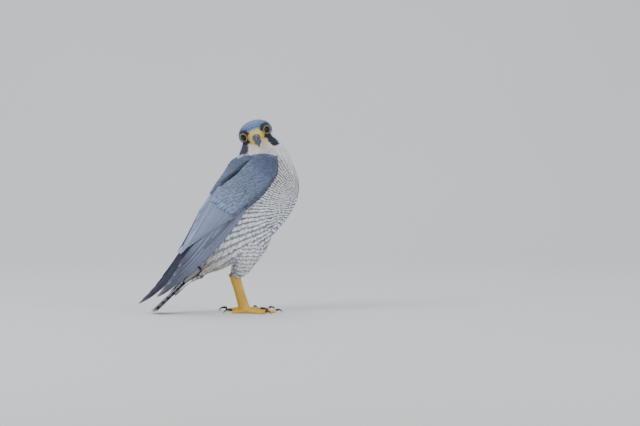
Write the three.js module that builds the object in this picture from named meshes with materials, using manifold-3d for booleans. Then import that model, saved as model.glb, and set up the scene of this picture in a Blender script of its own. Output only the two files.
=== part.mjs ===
// Adult peregrine falcon standing at rest, its head turned over the right shoulder: a life-size still model.
// Millimetres, +Z up, the bird faces +X, the floor is at z = 0. The trunk is worked in body
// coordinates: u along the body towards the head, h towards the back, y to the bird's left.
import * as THREE from "three";
import { mergeVertices } from "three/addons/utils/BufferGeometryUtils.js";
import Module from "manifold-3d";

const wasm = await Module();
wasm.setup();

// Driving dimensions
const GAP = 0.3; // clearance between neighbouring nodes
const BODY_TILT = 48.8; // degrees from the floor to the body's axis
const TRUNK_CENTRE = new THREE.Vector3(30.55, 0, 146); // also sets the origin under the middle of the bird
const TAIL_BEND = 6.1; // degrees that the tail turns up from the body's axis to lie at floor level
const TAIL_ROLL = 11; // degrees that the tail is twisted, its right edge up
const TAIL_FREE = 100; // tail beyond its root
const HEAD_TURN = 102; // degrees that the head is turned to the right
const HEAD_NOD = 7; // degrees that the bill points down
const HEAD_ROLL = 19.4; // degrees that the crown leans towards the tail
const HEAD_CENTRE = new THREE.Vector3(25.5, 0, 131); // from the trunk's centre
const EYE_RADIUS = 9;
const EYE_CENTRE = new THREE.Vector3(8, 14, 2); // left eye, in the head
const EYE_OUTWARD = 42; // degrees from straight ahead to where an eye looks
const STANCE = 23; // half the distance between the feet
const ANKLE = new THREE.Vector3(-7, 0, 55); // the heel, forward of the trunk's centre and above the floor
const FOOT_FORWARD = 7; // the foot's hub, forward of the trunk's centre
const HUB_HEIGHT = 8.5; // where the tarsus meets the toes
const PALM_RADIUS = 6.2; // the round pad under the hub
const MIDDLE_TOE = 45; // from the hub to the claw
const VANE_THICKNESS = 0.6; // of the solid feathers
const QUILL_PITCH = 0.88; // from one stacked feather to the next
const FOOT_TURN = 6; // degrees that the toes turn outwards
const TRUNK_FACETS = 20;

const DEG = Math.PI / 180;
const UP = new THREE.Vector3(0, 0, 1);

// Stations of the trunk and neck: middle (u, h), turn of the section in degrees,
// half-width w, reach to the back d and reach to the belly v.
const TRUNK = [
  { u: -100, h: -3, turn: -TAIL_BEND, w: 19, d: 12, v: 14 },
  { u: -72, h: -4, turn: -6, w: 28, d: 25, v: 30 },
  { u: -35, h: -2, turn: 0, w: 37, d: 38, v: 47 },
  { u: 5, h: 0, turn: 1, w: 43, d: 48, v: 57 },
  { u: 44, h: 2, turn: 7, w: 44, d: 52, v: 61 },
  { u: 72, h: 12, turn: 22, w: 42, d: 53, v: 61 },
  { u: 89, h: 29, turn: 44, w: 37, d: 45, v: 48 },
  { u: 101, h: 45, turn: 57, w: 28, d: 37, v: 38 },
  { u: 112, h: 61, turn: 60, w: 16, d: 24, v: 24 },
];
const TORSO_ENDS = 5.45; // station where torso and neck part
const NECK_ENDS = 7.05; // station where neck and head part

// The surface on which a folded wing lies: sections across the body's axis at u.
const SHELL = [
  { u: -205, h: 26, w: 10, d: 9, v: 5 },
  { u: -170, h: 17, w: 17, d: 12, v: 6 },
  { u: -135, h: 11, w: 23, d: 18, v: 8 },
  { u: -100, h: 6, w: 29, d: 27, v: 12 },
  { u: -65, h: 3, w: 36, d: 37, v: 30 },
  { u: -30, h: 1, w: 42, d: 47, v: 48 },
  { u: 5, h: 0, w: 46, d: 53, v: 58 },
  { u: 45, h: 3, w: 47, d: 57, v: 58 },
  { u: 72, h: 10, w: 47, d: 57, v: 52 },
  { u: 95, h: 17, w: 45, d: 52, v: 42 },
  { u: 114, h: 19, w: 40, d: 40, v: 34 },
];

const paint = (name, color, roughness, metalness = 0) =>
  new THREE.MeshStandardMaterial({ name, color, roughness, metalness });
const SLATE = paint("slate_feather", 0x66738c, 0.75);
const FLIGHT = paint("flight_feather", 0x4a4c57, 0.7);
const BARRED = paint("barred_feather", 0xc9ccd3, 0.85);
const HOOD = paint("hood_feather", 0x46526a, 0.8);
const SKIN = paint("yellow_skin", 0xe0a92e, 0.5);
const HORN = paint("bill_horn", 0x35404f, 0.35);
const CLAW = paint("claw_horn", 0x17181b, 0.3);
const EYE = paint("eye_cornea", 0x1c120c, 0.08);

// The value of one key at x, on a smooth curve through the stations.
function along(stations, key, x, at = (s) => s.u) {
  let i = 0;
  while (i < stations.length - 2 && x > at(stations[i + 1], i + 1)) i++;
  const X = (j) => at(stations[j], j);
  const slope = (j) => {
    const a = Math.max(j - 1, 0);
    const b = Math.min(j + 1, stations.length - 1);
    return (stations[b][key] - stations[a][key]) / (X(b) - X(a));
  };
  const width = X(i + 1) - X(i);
  const t = THREE.MathUtils.clamp((x - X(i)) / width, 0, 1);
  const [p, q] = [stations[i][key], stations[i + 1][key]];
  const [m, n] = [slope(i) * width, slope(i + 1) * width];
  return (
    p * (2 * t ** 3 - 3 * t ** 2 + 1) +
    m * (t ** 3 - 2 * t ** 2 + t) +
    q * (3 * t ** 2 - 2 * t ** 3) +
    n * (t ** 3 - t ** 2)
  );
}

const byIndex = (station, index) => index;

// A point in body coordinates, placed in the model.
function onBody(u, y, h) {
  const c = Math.cos(BODY_TILT * DEG);
  const s = Math.sin(BODY_TILT * DEG);
  return new THREE.Vector3(u * c - h * s, y, u * s + h * c).add(TRUNK_CENTRE);
}

// A closed solid from a list of points and triangles, turned to face outwards.
function solidFrom(points, triangles) {
  const geometry = new THREE.BufferGeometry().setFromPoints(points);
  geometry.setIndex(triangles);
  return solidOf(geometry);
}

// A three.js geometry as a solid.
function solidOf(geometry) {
  const bare = new THREE.BufferGeometry();
  bare.setAttribute("position", geometry.getAttribute("position"));
  bare.setIndex(geometry.index);
  const merged = mergeVertices(bare, 1e-4);
  const triVerts = new Uint32Array(merged.index.array);
  const make = () =>
    new wasm.Manifold(
      new wasm.Mesh({
        numProp: 3,
        vertProperties: merged.attributes.position.array,
        triVerts,
      }),
    );
  const made = make();
  if (made.volume() > 0) return made;
  for (let i = 0; i < triVerts.length; i += 3)
    [triVerts[i], triVerts[i + 1]] = [triVerts[i + 1], triVerts[i]];
  return make();
}

const largest = (solid) =>
  solid.decompose().reduce((a, b) => (b.volume() > a.volume() ? b : a));

// A skin through closed rings of points, capped at both ends.
function loft(rings) {
  const n = rings[0].length;
  const points = rings.flat();
  const triangles = [];
  for (let r = 0; r < rings.length - 1; r++)
    for (let i = 0; i < n; i++) {
      const a = r * n + i;
      const b = r * n + ((i + 1) % n);
      triangles.push(a, b, a + n, b, b + n, a + n);
    }
  for (const [first, flip] of [
    [0, true],
    [(rings.length - 1) * n, false],
  ]) {
    const middle = new THREE.Vector3();
    for (let i = 0; i < n; i++) middle.addScaledVector(points[first + i], 1 / n);
    points.push(middle);
    for (let i = 0; i < n; i++) {
      const a = first + i;
      const b = first + ((i + 1) % n);
      triangles.push(...(flip ? [b, a] : [a, b]), points.length - 1);
    }
  }
  return solidFrom(points, triangles);
}

// A slab between an outer and an inner grid of points, split alike on both faces.
function slab(rows, columns, at) {
  const points = [];
  for (const face of [0, 1])
    for (let i = 0; i <= rows; i++)
      for (let j = 0; j <= columns; j++) points.push(at(i / rows, j / columns, face));
  const id = (i, j, face) => (face * (rows + 1) + i) * (columns + 1) + j;
  const triangles = [];
  for (let i = 0; i < rows; i++)
    for (let j = 0; j < columns; j++)
      for (const face of [0, 1]) {
        const [a, b] = [id(i, j, face), id(i + 1, j, face)];
        const [c, d] = [id(i + 1, j + 1, face), id(i, j + 1, face)];
        if (face) triangles.push(a, c, b, a, d, c);
        else triangles.push(a, b, c, a, c, d);
      }
  const wall = (i, j, k, l) => {
    triangles.push(id(i, j, 0), id(i, j, 1), id(k, l, 0));
    triangles.push(id(k, l, 0), id(i, j, 1), id(k, l, 1));
  };
  for (let i = 0; i < rows; i++) {
    wall(i, 0, i + 1, 0);
    wall(i + 1, columns, i, columns);
  }
  for (let j = 0; j < columns; j++) {
    wall(0, j + 1, 0, j);
    wall(rows, j, rows, j + 1);
  }
  return solidFrom(points, triangles);
}

// A round tapered limb through places {at, r, flat}; flat squashes it from top to bottom.
function limb(places, sides = 10) {
  const path = new THREE.CatmullRomCurve3(places.map((p) => p.at));
  const steps = (places.length - 1) * 2;
  const rings = [];
  for (let i = 0; i <= steps; i++) {
    const t = i / steps;
    const place = t * (places.length - 1);
    const r = along(places, "r", place, byIndex);
    const flat = along(places, "flat", place, byIndex);
    const forward = path.getTangent(t);
    const side = new THREE.Vector3().crossVectors(UP, forward).normalize();
    const top = new THREE.Vector3().crossVectors(forward, side);
    const middle = path.getPoint(t);
    rings.push(
      Array.from({ length: sides }, (_, k) => {
        const a = (2 * Math.PI * k) / sides;
        return middle
          .clone()
          .addScaledVector(side, r * Math.cos(a))
          .addScaledVector(top, r * flat * Math.sin(a));
      }),
    );
  }
  return loft(rings);
}

// The trunk and neck between two stations, grown outwards by some millimetres.
function trunkBetween(from, to, grow) {
  const rings = [];
  const steps = Math.round((to - from) * 3);
  for (let i = 0; i <= steps; i++) {
    const x = from + ((to - from) * i) / steps;
    const get = (key) => along(TRUNK, key, x, byIndex);
    const turn = get("turn") * DEG;
    rings.push(
      Array.from({ length: TRUNK_FACETS }, (_, k) => {
        const a = (2 * Math.PI * k) / TRUNK_FACETS;
        const reach = (Math.cos(a) > 0 ? get("d") : get("v")) + grow;
        const lift = reach * Math.cos(a);
        return onBody(
          get("u") - lift * Math.sin(turn),
          (get("w") + grow) * Math.sin(a),
          get("h") + lift * Math.cos(turn),
        );
      }),
    );
  }
  return loft(rings);
}

// The plane across the trunk at a station: what lies towards the head is kept, or towards the tail.
function trunkPlane(x) {
  const turn = (along(TRUNK, "turn", x, byIndex) + BODY_TILT) * DEG;
  const normal = [Math.cos(turn), 0, Math.sin(turn)];
  const middle = onBody(
    along(TRUNK, "u", x, byIndex),
    0,
    along(TRUNK, "h", x, byIndex),
  );
  return { normal, offset: middle.x * normal[0] + middle.z * normal[2] };
}
const headward = (solid, plane) =>
  solid.trimByPlane(plane.normal, plane.offset + GAP / 2);
const tailward = (solid, plane) =>
  solid.trimByPlane(
    plane.normal.map((x) => -x),
    -plane.offset + GAP / 2,
  );

// A point over the folded wing's surface: side is 1 for left and -1 for right, phi is in
// degrees from the middle of the back, and lift is the height over the surface.
function onShell(side, u, phi, lift) {
  const [h, w, d, v] = ["h", "w", "d", "v"].map((k) => along(SHELL, k, u));
  const c = Math.cos(phi * DEG);
  const s = Math.sin(phi * DEG);
  const reach = c > 0 ? d : v;
  const normal = new THREE.Vector2(s / w, c / reach).normalize();
  return onBody(
    u,
    side * (w * s + normal.x * lift),
    h + reach * c + normal.y * lift,
  );
}

const between = (a, b, t) => a + (b - a) * t;
const eased = (t) => t * t * (3 - 2 * t);

// A stretch of the shell as a slab. top and bottom give phi at u, and lift(u share, phi share, face).
function shellPatch(side, [u0, u1], rows, columns, top, bottom, lift) {
  return slab(rows, columns, (i, j, face) => {
    const u = between(u0, u1, i);
    return onShell(side, u, between(top(u), bottom(u), j), lift(i, j, face));
  });
}

// Head
const headMatrix = new THREE.Matrix4();
{
  const turn = new THREE.Matrix4().makeRotationZ(-HEAD_TURN * DEG);
  const nod = new THREE.Matrix4().makeRotationY(HEAD_NOD * DEG);
  const roll = new THREE.Matrix4().makeRotationX(HEAD_ROLL * DEG);
  headMatrix.multiply(turn).multiply(roll).multiply(nod);
  headMatrix.setPosition(TRUNK_CENTRE.clone().add(HEAD_CENTRE));
}

// Sections of the head from the nape to the face: middle height z, half-width w, reach up and down.
const SKULL = [
  { x: -34, z: -4, w: 9, up: 7, down: 9 },
  { x: -29, z: -3, w: 19, up: 15, down: 18 },
  { x: -18, z: -1, w: 26, up: 20, down: 22 },
  { x: -6, z: 0, w: 27.5, up: 20, down: 23 },
  { x: 6, z: 0, w: 24, up: 19, down: 21 },
  { x: 15, z: -1, w: 17.5, up: 15.5, down: 17 },
  { x: 22, z: -2, w: 11.5, up: 10.5, down: 11.5 },
  { x: 25.5, z: -2.5, w: 8.2, up: 8, down: 8.5 },
];
const CERE_FRONT = 31;

function ellipseRing(x, y, z, w, up, down, sides, lean = 0) {
  return Array.from({ length: sides }, (_, k) => {
    const a = (2 * Math.PI * k) / sides;
    const rise = (Math.sin(a) > 0 ? up : down) * Math.sin(a);
    return new THREE.Vector3(
      x + rise * Math.sin(lean),
      y + w * Math.cos(a),
      z + rise * Math.cos(lean),
    );
  });
}

function ellipsoid(x, y, z, a, b, c, turn = 0, detail = 8) {
  const geometry = new THREE.SphereGeometry(1, detail * 2, detail);
  geometry.scale(a, b, c);
  geometry.rotateZ(turn);
  geometry.translate(x, y, z);
  return solidOf(geometry);
}

function eyeBall(side, radius, detail) {
  const geometry = new THREE.SphereGeometry(radius, detail * 2, detail);
  geometry.rotateZ(side * EYE_OUTWARD * DEG + Math.PI / 2);
  const c = EYE_CENTRE;
  geometry.translate(c.x, side * c.y, c.z);
  return solidOf(geometry);
}

const LIDS = { radius: 7.6, thick: 2.8, proud: 0.6 };

// The bare ring and lids that stand round an eye.
function eyeRing(side) {
  const depth = Math.sqrt(EYE_RADIUS ** 2 - LIDS.radius ** 2) + LIDS.proud;
  const geometry = new THREE.TorusGeometry(LIDS.radius, LIDS.thick / 2, 5, 16);
  geometry.rotateY(Math.PI / 2);
  geometry.translate(depth, 0, 0);
  geometry.rotateZ(side * EYE_OUTWARD * DEG);
  geometry.translate(EYE_CENTRE.x, side * EYE_CENTRE.y, EYE_CENTRE.z);
  return solidOf(geometry);
}

function skull(sides = 18) {
  const rings = [];
  const steps = (SKULL.length - 1) * 2;
  for (let i = 0; i <= steps; i++) {
    const x = between(SKULL[0].x, SKULL.at(-1).x, i / steps);
    const get = (key) => along(SKULL, key, x, (s) => s.x);
    rings.push(ellipseRing(x, 0, get("z"), get("w"), get("up"), get("down"), sides));
  }
  return loft(rings);
}

// The hooked upper bill: sections that follow the ridge's arc down to the tip.
const BILL = [
  { x: CERE_FRONT + GAP, z: -2.2, w: 6.6, r: 6.2, lean: 0 },
  { x: 35.5, z: -3, w: 5.6, r: 5.8, lean: 18 },
  { x: 39.6, z: -5.6, w: 4.2, r: 4.9, lean: 42 },
  { x: 42, z: -9.4, w: 2.8, r: 3.4, lean: 66 },
  { x: 42.4, z: -13, w: 1.5, r: 1.9, lean: 84 },
  { x: 41.7, z: -16, w: 0.5, r: 0.6, lean: 100 },
];

// The tooth on each cutting edge: its middle and its half-axes.
const TOOTH = { x: 39.2, y: 2.6, z: -10, long: 1.5, wide: 0.9, deep: 2.6 };

function billUpper() {
  let solid = loft(
    BILL.map((s) => ellipseRing(s.x, 0, s.z, s.w, s.r, s.r, 14, s.lean * DEG)),
  );
  for (const side of [1, -1]) {
    const tooth = ellipsoid(TOOTH.x, side * TOOTH.y, TOOTH.z, TOOTH.long, TOOTH.wide, TOOTH.deep, 0, 4);
    solid = solid.add(tooth);
  }
  return largest(solid);
}

const BILL_LOWER = [
  { x: 23.8, z: -10.3, w: 5.4, up: 1.4, down: 3 },
  { x: 30, z: -10.9, w: 4.6, up: 1.4, down: 2.6 },
  { x: 35, z: -11.4, w: 3.4, up: 1.2, down: 2 },
  { x: 37.6, z: -11.8, w: 1.9, up: 0.7, down: 1 },
];

function billLower(grow) {
  return loft(
    BILL_LOWER.map((s, i) =>
      ellipseRing(s.x + (i ? grow : -grow), 0, s.z, s.w + grow, s.up + grow, s.down + grow, 12),
    ),
  );
}

// The yellow corner of the mouth, back along the cheek.
const GAPE = [
  { x: 30, y: 5, z: -7.4, r: 1.3 },
  { x: 23, y: 8.6, z: -8.4, r: 1.3 },
  { x: 16, y: 13.4, z: -9.4, r: 0.9 },
];
const GAPE_FLATNESS = 0.8;

function gape(side, grow) {
  const last = GAPE.length - 1;
  return limb(
    GAPE.map((p, i) => ({
      at: new THREE.Vector3(p.x - (i === last ? grow : 0), side * p.y, p.z),
      r: p.r + grow,
      flat: GAPE_FLATNESS,
    })),
    6,
  );
}

const CERE_BACK = 24.6;
const CERE = [
  { x: CERE_BACK, z: -2.4, w: 8.4, up: 8, down: 7.4 },
  { x: 28, z: -2.2, w: 7.8, up: 7.2, down: 6.8 },
  { x: CERE_FRONT, z: -2.2, w: 6.9, up: 6.5, down: 6.4 },
];
const NOSTRIL = { x: 28.2, y: 7.6, z: 0.4, radius: 1.7 };
const NOSTRIL_PEG = { y: 6.7, radius: 0.6, depth: 1 };

function cere() {
  let solid = loft(CERE.map((s) => ellipseRing(s.x, 0, s.z, s.w, s.up, s.down, 16)));
  for (const side of [1, -1]) {
    solid = solid.add(gape(side, 0).trimByPlane([-1, 0, 0], -CERE_FRONT));
    const { x, y, z, radius } = NOSTRIL;
    solid = solid.subtract(ellipsoid(x, side * y, z, radius, radius, radius, 0, 5));
    const peg = NOSTRIL_PEG;
    solid = solid.add(ellipsoid(x, side * peg.y, z, peg.radius, peg.depth, peg.radius, 0, 4));
  }
  return largest(solid.subtract(billLower(GAP)));
}

// The bony ridge over an eye: its middle, its half-axes and its turn in radians.
const BROW = { x: 9, y: 17.2, z: 9.6, long: 10.5, wide: 3.2, deep: 2.6, turn: 0.75 };

// Head with brows, lids and the upper neck, in the model's own place.
function headFlesh(neckStub, plane) {
  let solid = skull().add(neckStub.transform(headMatrix.clone().invert().toArray()));
  for (const side of [1, -1]) {
    const { x, y, z, long, wide, deep, turn } = BROW;
    solid = solid.add(ellipsoid(x, side * y, z, long, wide, deep, -side * turn, 5));
    solid = solid.add(eyeRing(side));
  }
  for (const side of [1, -1]) {
    solid = solid.subtract(eyeBall(side, EYE_RADIUS + GAP, 8));
    solid = solid.subtract(gape(side, GAP));
  }
  solid = solid.subtract(billLower(GAP)).trimByPlane([-1, 0, 0], GAP - CERE_BACK);
  return largest(headward(solid.transform(headMatrix.toArray()), plane));
}

// Folded wing. The arm ends at ARM_REAR, where the roots of the flight feathers begin.
const ARM_REAR = 18;
const ARM_FRONT = 107;
const WING_DEPTH = 9; // below the shell, before the trunk is cut away
const ARM_RISE = 3.8; // above the shell
const ARM_REAR_RISE = 2.8; // added towards the rear, over the flight feathers' roots
// phi of the arm's upper and lower edges
const WING_TOP = [
  { u: -60, phi: 9 },
  { u: 10, phi: 12 },
  { u: 50, phi: 32 },
  { u: 80, phi: 47 },
  { u: 96, phi: 58 },
  { u: ARM_FRONT, phi: 79 },
];
const WING_EDGE = [
  { u: -60, phi: 58 },
  { u: -20, phi: 67 },
  { u: 29, phi: 83 },
  { u: 73, phi: 94 },
  { u: 91, phi: 99 },
  { u: ARM_FRONT, phi: 84 },
];
const wingTop = (u) => along(WING_TOP, "phi", u);
const wingEdge = (u) => along(WING_EDGE, "phi", u);
const pillow = (t, power = 0.45) => Math.max(4 * t * (1 - t), 0) ** power;

// Share along a feather at which its outline is cut, and its breadth there.
const VANE_CUTS = [0, 0.35, 0.78, 0.93, 1];
const VANE_BREADTH = [0.8, 1, 0.94, 0.66, 0.24];
const VANE_STEPS = VANE_CUTS.length - 1;
const cutAt = (i) => Math.round(i * VANE_STEPS);

// A feather on the wing's surface. root and tip are {u, phi, lift}; tilt raises its lower edge.
function wingVane(side, { root, tip, width, tilt, columns = 1, thick = VANE_THICKNESS }) {
  return slab(VANE_STEPS, columns, (i, j, face) => {
    const t = VANE_CUTS[cutAt(i)];
    const u = between(root.u, tip.u, t);
    const radius = (along(SHELL, "w", u) + along(SHELL, "d", u)) / 2;
    const across = (j - 0.5) * width * VANE_BREADTH[cutAt(i)];
    const phi = between(root.phi, tip.phi, t) + across / radius / DEG;
    const lift = between(root.lift, tip.lift, t) + j * tilt * VANE_BREADTH[cutAt(i)];
    return onShell(side, u, phi, lift + (face ? 0 : thick));
  });
}

const joined = (solids) => largest(wasm.Manifold.union(solids));

// Tiers of coverts that stand out from the arm; the last one lies over the flight feathers.
const COVERT_TILT = 1.8;
const COVERTS = [
  { count: 6, from: 60, to: 36, top: 47, low: 83, width: 13.5, lift: [2.6, 5.9], slant: 9 },
  { count: 7, from: 34, to: -6, top: 25, low: 73, width: 14, lift: [5.2, 7.6], slant: 16 },
];

// Height of the arm's and the scapulars' upper face: i from the rear forwards, j across.
const armTop = (i, j) =>
  pillow(j, between(0.16, 0.45, Math.min(1, 3 * i))) *
    (ARM_RISE + ARM_REAR_RISE * (1 - i) ** 4) * Math.min(1, 5 * (1 - i)) ** 0.6 -
  0.2;

function wingArm(side, flesh) {
  const arm = shellPatch(side, [ARM_REAR, ARM_FRONT], 8, 7, wingTop, wingEdge, (i, j, face) =>
    face ? -WING_DEPTH : armTop(i, j),
  );
  const solids = [arm.subtract(flesh)];
  for (const tier of COVERTS)
    for (let k = 0; k < tier.count; k++) {
      const t = k / (tier.count - 1);
      const phi = between(tier.low, tier.top, t);
      const drop = tier.slant * (t - 0.5);
      solids.push(
        wingVane(side, {
          root: { u: tier.from - drop * 0.4, phi, lift: tier.lift[0] },
          tip: { u: tier.to - drop, phi: phi - 1, lift: tier.lift[1] },
          width: tier.width,
          tilt: COVERT_TILT,
        }),
      );
    }
  return joined(solids);
}

// Patch of the mantle and scapulars beside the wing, a little proud of it
const SCAPULAR_PATCH = { front: 84, inner: 7, gap: 1.6, proud: 0.6 };
// Scapulars that reach back over the flight feathers' roots, each lying over the one before
const SCAPULAR_VANE = { root: 4, tip: 7.9, step: 0.7, width: 9, tilt: 0.3 };
const SCAPULARS = [
  { from: 56, to: 22, phi: 19 },
  { from: 46, to: 6, phi: 12 },
  { from: 36, to: -12, phi: 11.5 },
];

function scapulars(side, flesh) {
  const patch = shellPatch(
    side,
    [ARM_REAR, SCAPULAR_PATCH.front],
    6,
    3,
    () => SCAPULAR_PATCH.inner,
    (u) => wingTop(u) - SCAPULAR_PATCH.gap,
    (i, j, face) => (face ? -WING_DEPTH : armTop(i, j) + SCAPULAR_PATCH.proud),
  );
  const solids = [patch.subtract(flesh)];
  for (const [k, s] of SCAPULARS.entries())
    solids.push(
      wingVane(side, {
        root: { u: s.from, phi: s.phi, lift: SCAPULAR_VANE.root },
        tip: { u: s.to, phi: s.phi, lift: SCAPULAR_VANE.tip + k * SCAPULAR_VANE.step },
        width: SCAPULAR_VANE.width,
        tilt: SCAPULAR_VANE.tilt,
      }),
    );
  return joined(solids);
}

// Lines of the flight feathers: phi of the bundles' upper and lower edges.
const QUILLS = [
  { u: -176, top: 58, low: 88, sTop: 18, sLow: 34 },
  { u: -125, top: 34, low: 68, sTop: 16, sLow: 32 },
  { u: -100, top: 32, low: 70, sTop: 14, sLow: 31 },
  { u: -79, top: 34, low: 72, sTop: 12, sLow: 45 },
  { u: -34, top: 40, low: 76, sTop: 10, sLow: 64 },
  { u: 18, top: 50, low: 79, sTop: 13, sLow: 80 },
];
const quills = (key) => (u) => along(QUILLS, key, u);

// Tips of the secondaries, from the lowest to the one next to the back.
const SECONDARY_TIPS = [-10, -24, -37, -50, -63, -75, -86, -96, -103];
const SECONDARY = {
  bundle: { rear: -4, under: [3.4, 3.9], over: 5.8 },
  root: { u: 12, phi: [73, 22], lift: 3.7 },
  tip: { inset: [4, 10], lift: 4, liftPerU: 1 / 45 },
  width: 14,
  tilt: 2,
};

function secondaries(side) {
  const { bundle, root: base, tip: end, width, tilt } = SECONDARY;
  const root = shellPatch(
    side,
    [ARM_REAR - GAP, bundle.rear],
    2,
    5,
    quills("sTop"),
    quills("sLow"),
    (i, j, face) => (face ? between(...bundle.under, i) : bundle.over),
  );
  const last = SECONDARY_TIPS.length - 1;
  const solids = SECONDARY_TIPS.map((u, k) =>
    wingVane(side, {
      root: { u: base.u, phi: between(...base.phi, k / last), lift: base.lift },
      tip: {
        u,
        phi: quills("sLow")(u) - between(...end.inset, k / last),
        lift: end.lift - u * end.liftPerU,
      },
      width,
      tilt,
      columns: 2,
    }),
  );
  return joined([root, ...solids]);
}

// Tips of the primaries that show, from the outermost, which lies lowest and next to the body.
const PRIMARY_TIPS = [
  { u: -169, phi: 84 },
  { u: -176, phi: 78 },
  { u: -168, phi: 71 },
  { u: -153, phi: 64 },
  { u: -137, phi: 56 },
  { u: -121, phi: 48 },
];
const LEFT_WING_DROP = 25; // the left wing is held this much further back
const LEFT_WING_RISE = 24; // degrees that its tips cross towards the back
const PRIMARY = {
  bundle: { rear: -78, over: [2.9, 4.9] },
  root: { u: -62, phi: 67, step: 5 },
  lift: 0.3,
  width: 13.5,
  narrowing: 0.4,
  tilt: 0.4,
  thick: 0.5,
};

function primaries(side) {
  const drop = side > 0 ? LEFT_WING_DROP : 0;
  const { bundle, root: base, width, narrowing, tilt, thick } = PRIMARY;
  const cross = (u) => eased(THREE.MathUtils.clamp((60 + u) / -120, 0, 1));
  const rise = (u) => (side > 0 ? LEFT_WING_RISE * cross(u) : 0);
  const root = shellPatch(
    side,
    [ARM_REAR - GAP, bundle.rear],
    5,
    4,
    quills("top"),
    quills("low"),
    (i, j, face) => (face ? 0 : between(...bundle.over, i)),
  );
  const solids = PRIMARY_TIPS.map((tip, k) => {
    const u = tip.u - drop;
    const lift = PRIMARY.lift + k * QUILL_PITCH;
    return wingVane(side, {
      root: { u: base.u, phi: base.phi - k * base.step, lift },
      tip: { u, phi: tip.phi - rise(u), lift },
      width: width - k * narrowing,
      tilt,
      columns: 2,
      thick,
    });
  });
  return joined([root, ...solids]);
}

// Tail: in its own frame x runs back along the tail, z is up from its upper face.
const tailMatrix = new THREE.Matrix4();
{
  const root = onBody(-101, 0, -2.8);
  const down = (BODY_TILT - TAIL_BEND) * DEG;
  const back = new THREE.Vector3(-Math.cos(down), 0, -Math.sin(down));
  const side = new THREE.Vector3(0, -1, 0);
  const up = new THREE.Vector3().crossVectors(back, side);
  tailMatrix.makeBasis(back, side, up);
  tailMatrix.setPosition(root);
  tailMatrix.multiply(new THREE.Matrix4().makeRotationX(TAIL_ROLL * DEG));
}
const inTail = (x, y, z) => new THREE.Vector3(x, y, z).applyMatrix4(tailMatrix);

// One tail feather between two side edges at the tip, at a height in the stack.
function tailVane(inner, outer, height, length) {
  return slab(VANE_STEPS, 2, (i, j, face) => {
    const t = VANE_CUTS[cutAt(i)];
    const spread = between(0.72, 1, t);
    const middle = ((inner + outer) / 2) * spread;
    const breadth = (outer - inner) * spread * Math.max(VANE_BREADTH[cutAt(i)], t < 0.5 ? 1 : 0.35);
    const bow = -0.9 * ((middle + (j - 0.5) * breadth) / 20) ** 2;
    return inTail(
      between(10, length, t),
      middle + (j - 0.5) * breadth,
      height + bow + (face ? 0 : VANE_THICKNESS),
    );
  });
}

// The tail's root under its coverts; pairs of values are at the rump and at the rear
const TAIL_BASE = { length: 32, halfWidth: [16, 17], under: [-8, -2.6], over: [9, 3.4] };
// The middle feather and the pairs beside it, each pair wider, lower and shorter than the last
const TAIL_MIDDLE = { halfWidth: 9, height: 2.4 };
const TAIL_PAIRS = { count: 5, inner: 0.2, outer: 11, spread: 2.9, height: 1.5, shorter: 1.1 };

function tail() {
  const { length, halfWidth, under, over } = TAIL_BASE;
  const root = slab(4, 4, (i, j, face) =>
    inTail(
      between(GAP, length, i),
      between(-1, 1, j) * between(...halfWidth, i),
      between(...(face ? under : over), i),
    ),
  );
  const half = TAIL_MIDDLE.halfWidth;
  const solids = [root, tailVane(-half, half, TAIL_MIDDLE.height, TAIL_FREE)];
  const pairs = TAIL_PAIRS;
  for (let k = 0; k < pairs.count; k++)
    for (const side of [1, -1]) {
      const edges = [side * pairs.inner, side * (pairs.outer + k * pairs.spread)];
      edges.sort((a, b) => a - b);
      const height = pairs.height - k * QUILL_PITCH;
      solids.push(tailVane(...edges, height, TAIL_FREE - 1 - k * pairs.shorter));
    }
  return joined(solids).trimByPlane([0, 0, 1], 0);
}

// Undertail coverts: a cushion below the tail's base and feathers
const UNDERTAIL = { length: 56, halfWidth: [15, 9], depth: [6.5, 1.2], belowVanes: 3.6 };

function undertailCoverts() {
  const { length, halfWidth, depth, belowVanes } = UNDERTAIL;
  return slab(5, 4, (i, j, face) => {
    const x = between(GAP, length, i);
    const base = -between(...TAIL_BASE.under, Math.min(x / (TAIL_BASE.length - 1), 1));
    const top = -Math.max(base, belowVanes) - GAP;
    const deep = between(...depth, i) * pillow(between(0.15, 0.85, j));
    const y = between(-1, 1, j) * between(...halfWidth, i * i);
    return inTail(x, y, face ? top - deep : top);
  });
}

// Legs
const ankle = (side) =>
  new THREE.Vector3(TRUNK_CENTRE.x + ANKLE.x, TRUNK_CENTRE.y + side * STANCE, ANKLE.z);
const hub = (side) =>
  new THREE.Vector3(
    TRUNK_CENTRE.x + FOOT_FORWARD,
    TRUNK_CENTRE.y + side * STANCE,
    HUB_HEIGHT,
  );

const shank = (side) => hub(side).sub(ankle(side)).normalize();

// Radius and flatness of the thigh at the heel, half-way, at the hip and inside the trunk
const THIGH = [
  { r: 6, flat: 1.1 },
  { r: 14.5, flat: 1.25 },
  { r: 21, flat: 1.1 },
  { r: 16, flat: 1 },
];
const HIP = { u: 2, h: -34 };

function thigh(side, flesh) {
  const low = ankle(side).addScaledVector(shank(side), 4);
  const high = onBody(HIP.u, side * (STANCE - 2), HIP.h);
  const middle = low.clone().lerp(high, 0.5);
  const inside = high.clone().add(new THREE.Vector3(3, 0, 14));
  const places = [low, middle, high, inside].map((at, i) => ({ at, ...THIGH[i] }));
  const solid = limb(places, 12);
  const away = shank(side).negate();
  const cut = ankle(side).dot(away) + GAP / 2;
  const half = solid
    .trimByPlane([0, side, 0], side * TRUNK_CENTRE.y + GAP)
    .trimByPlane(away.toArray(), cut);
  return largest(half.subtract(flesh));
}

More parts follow.
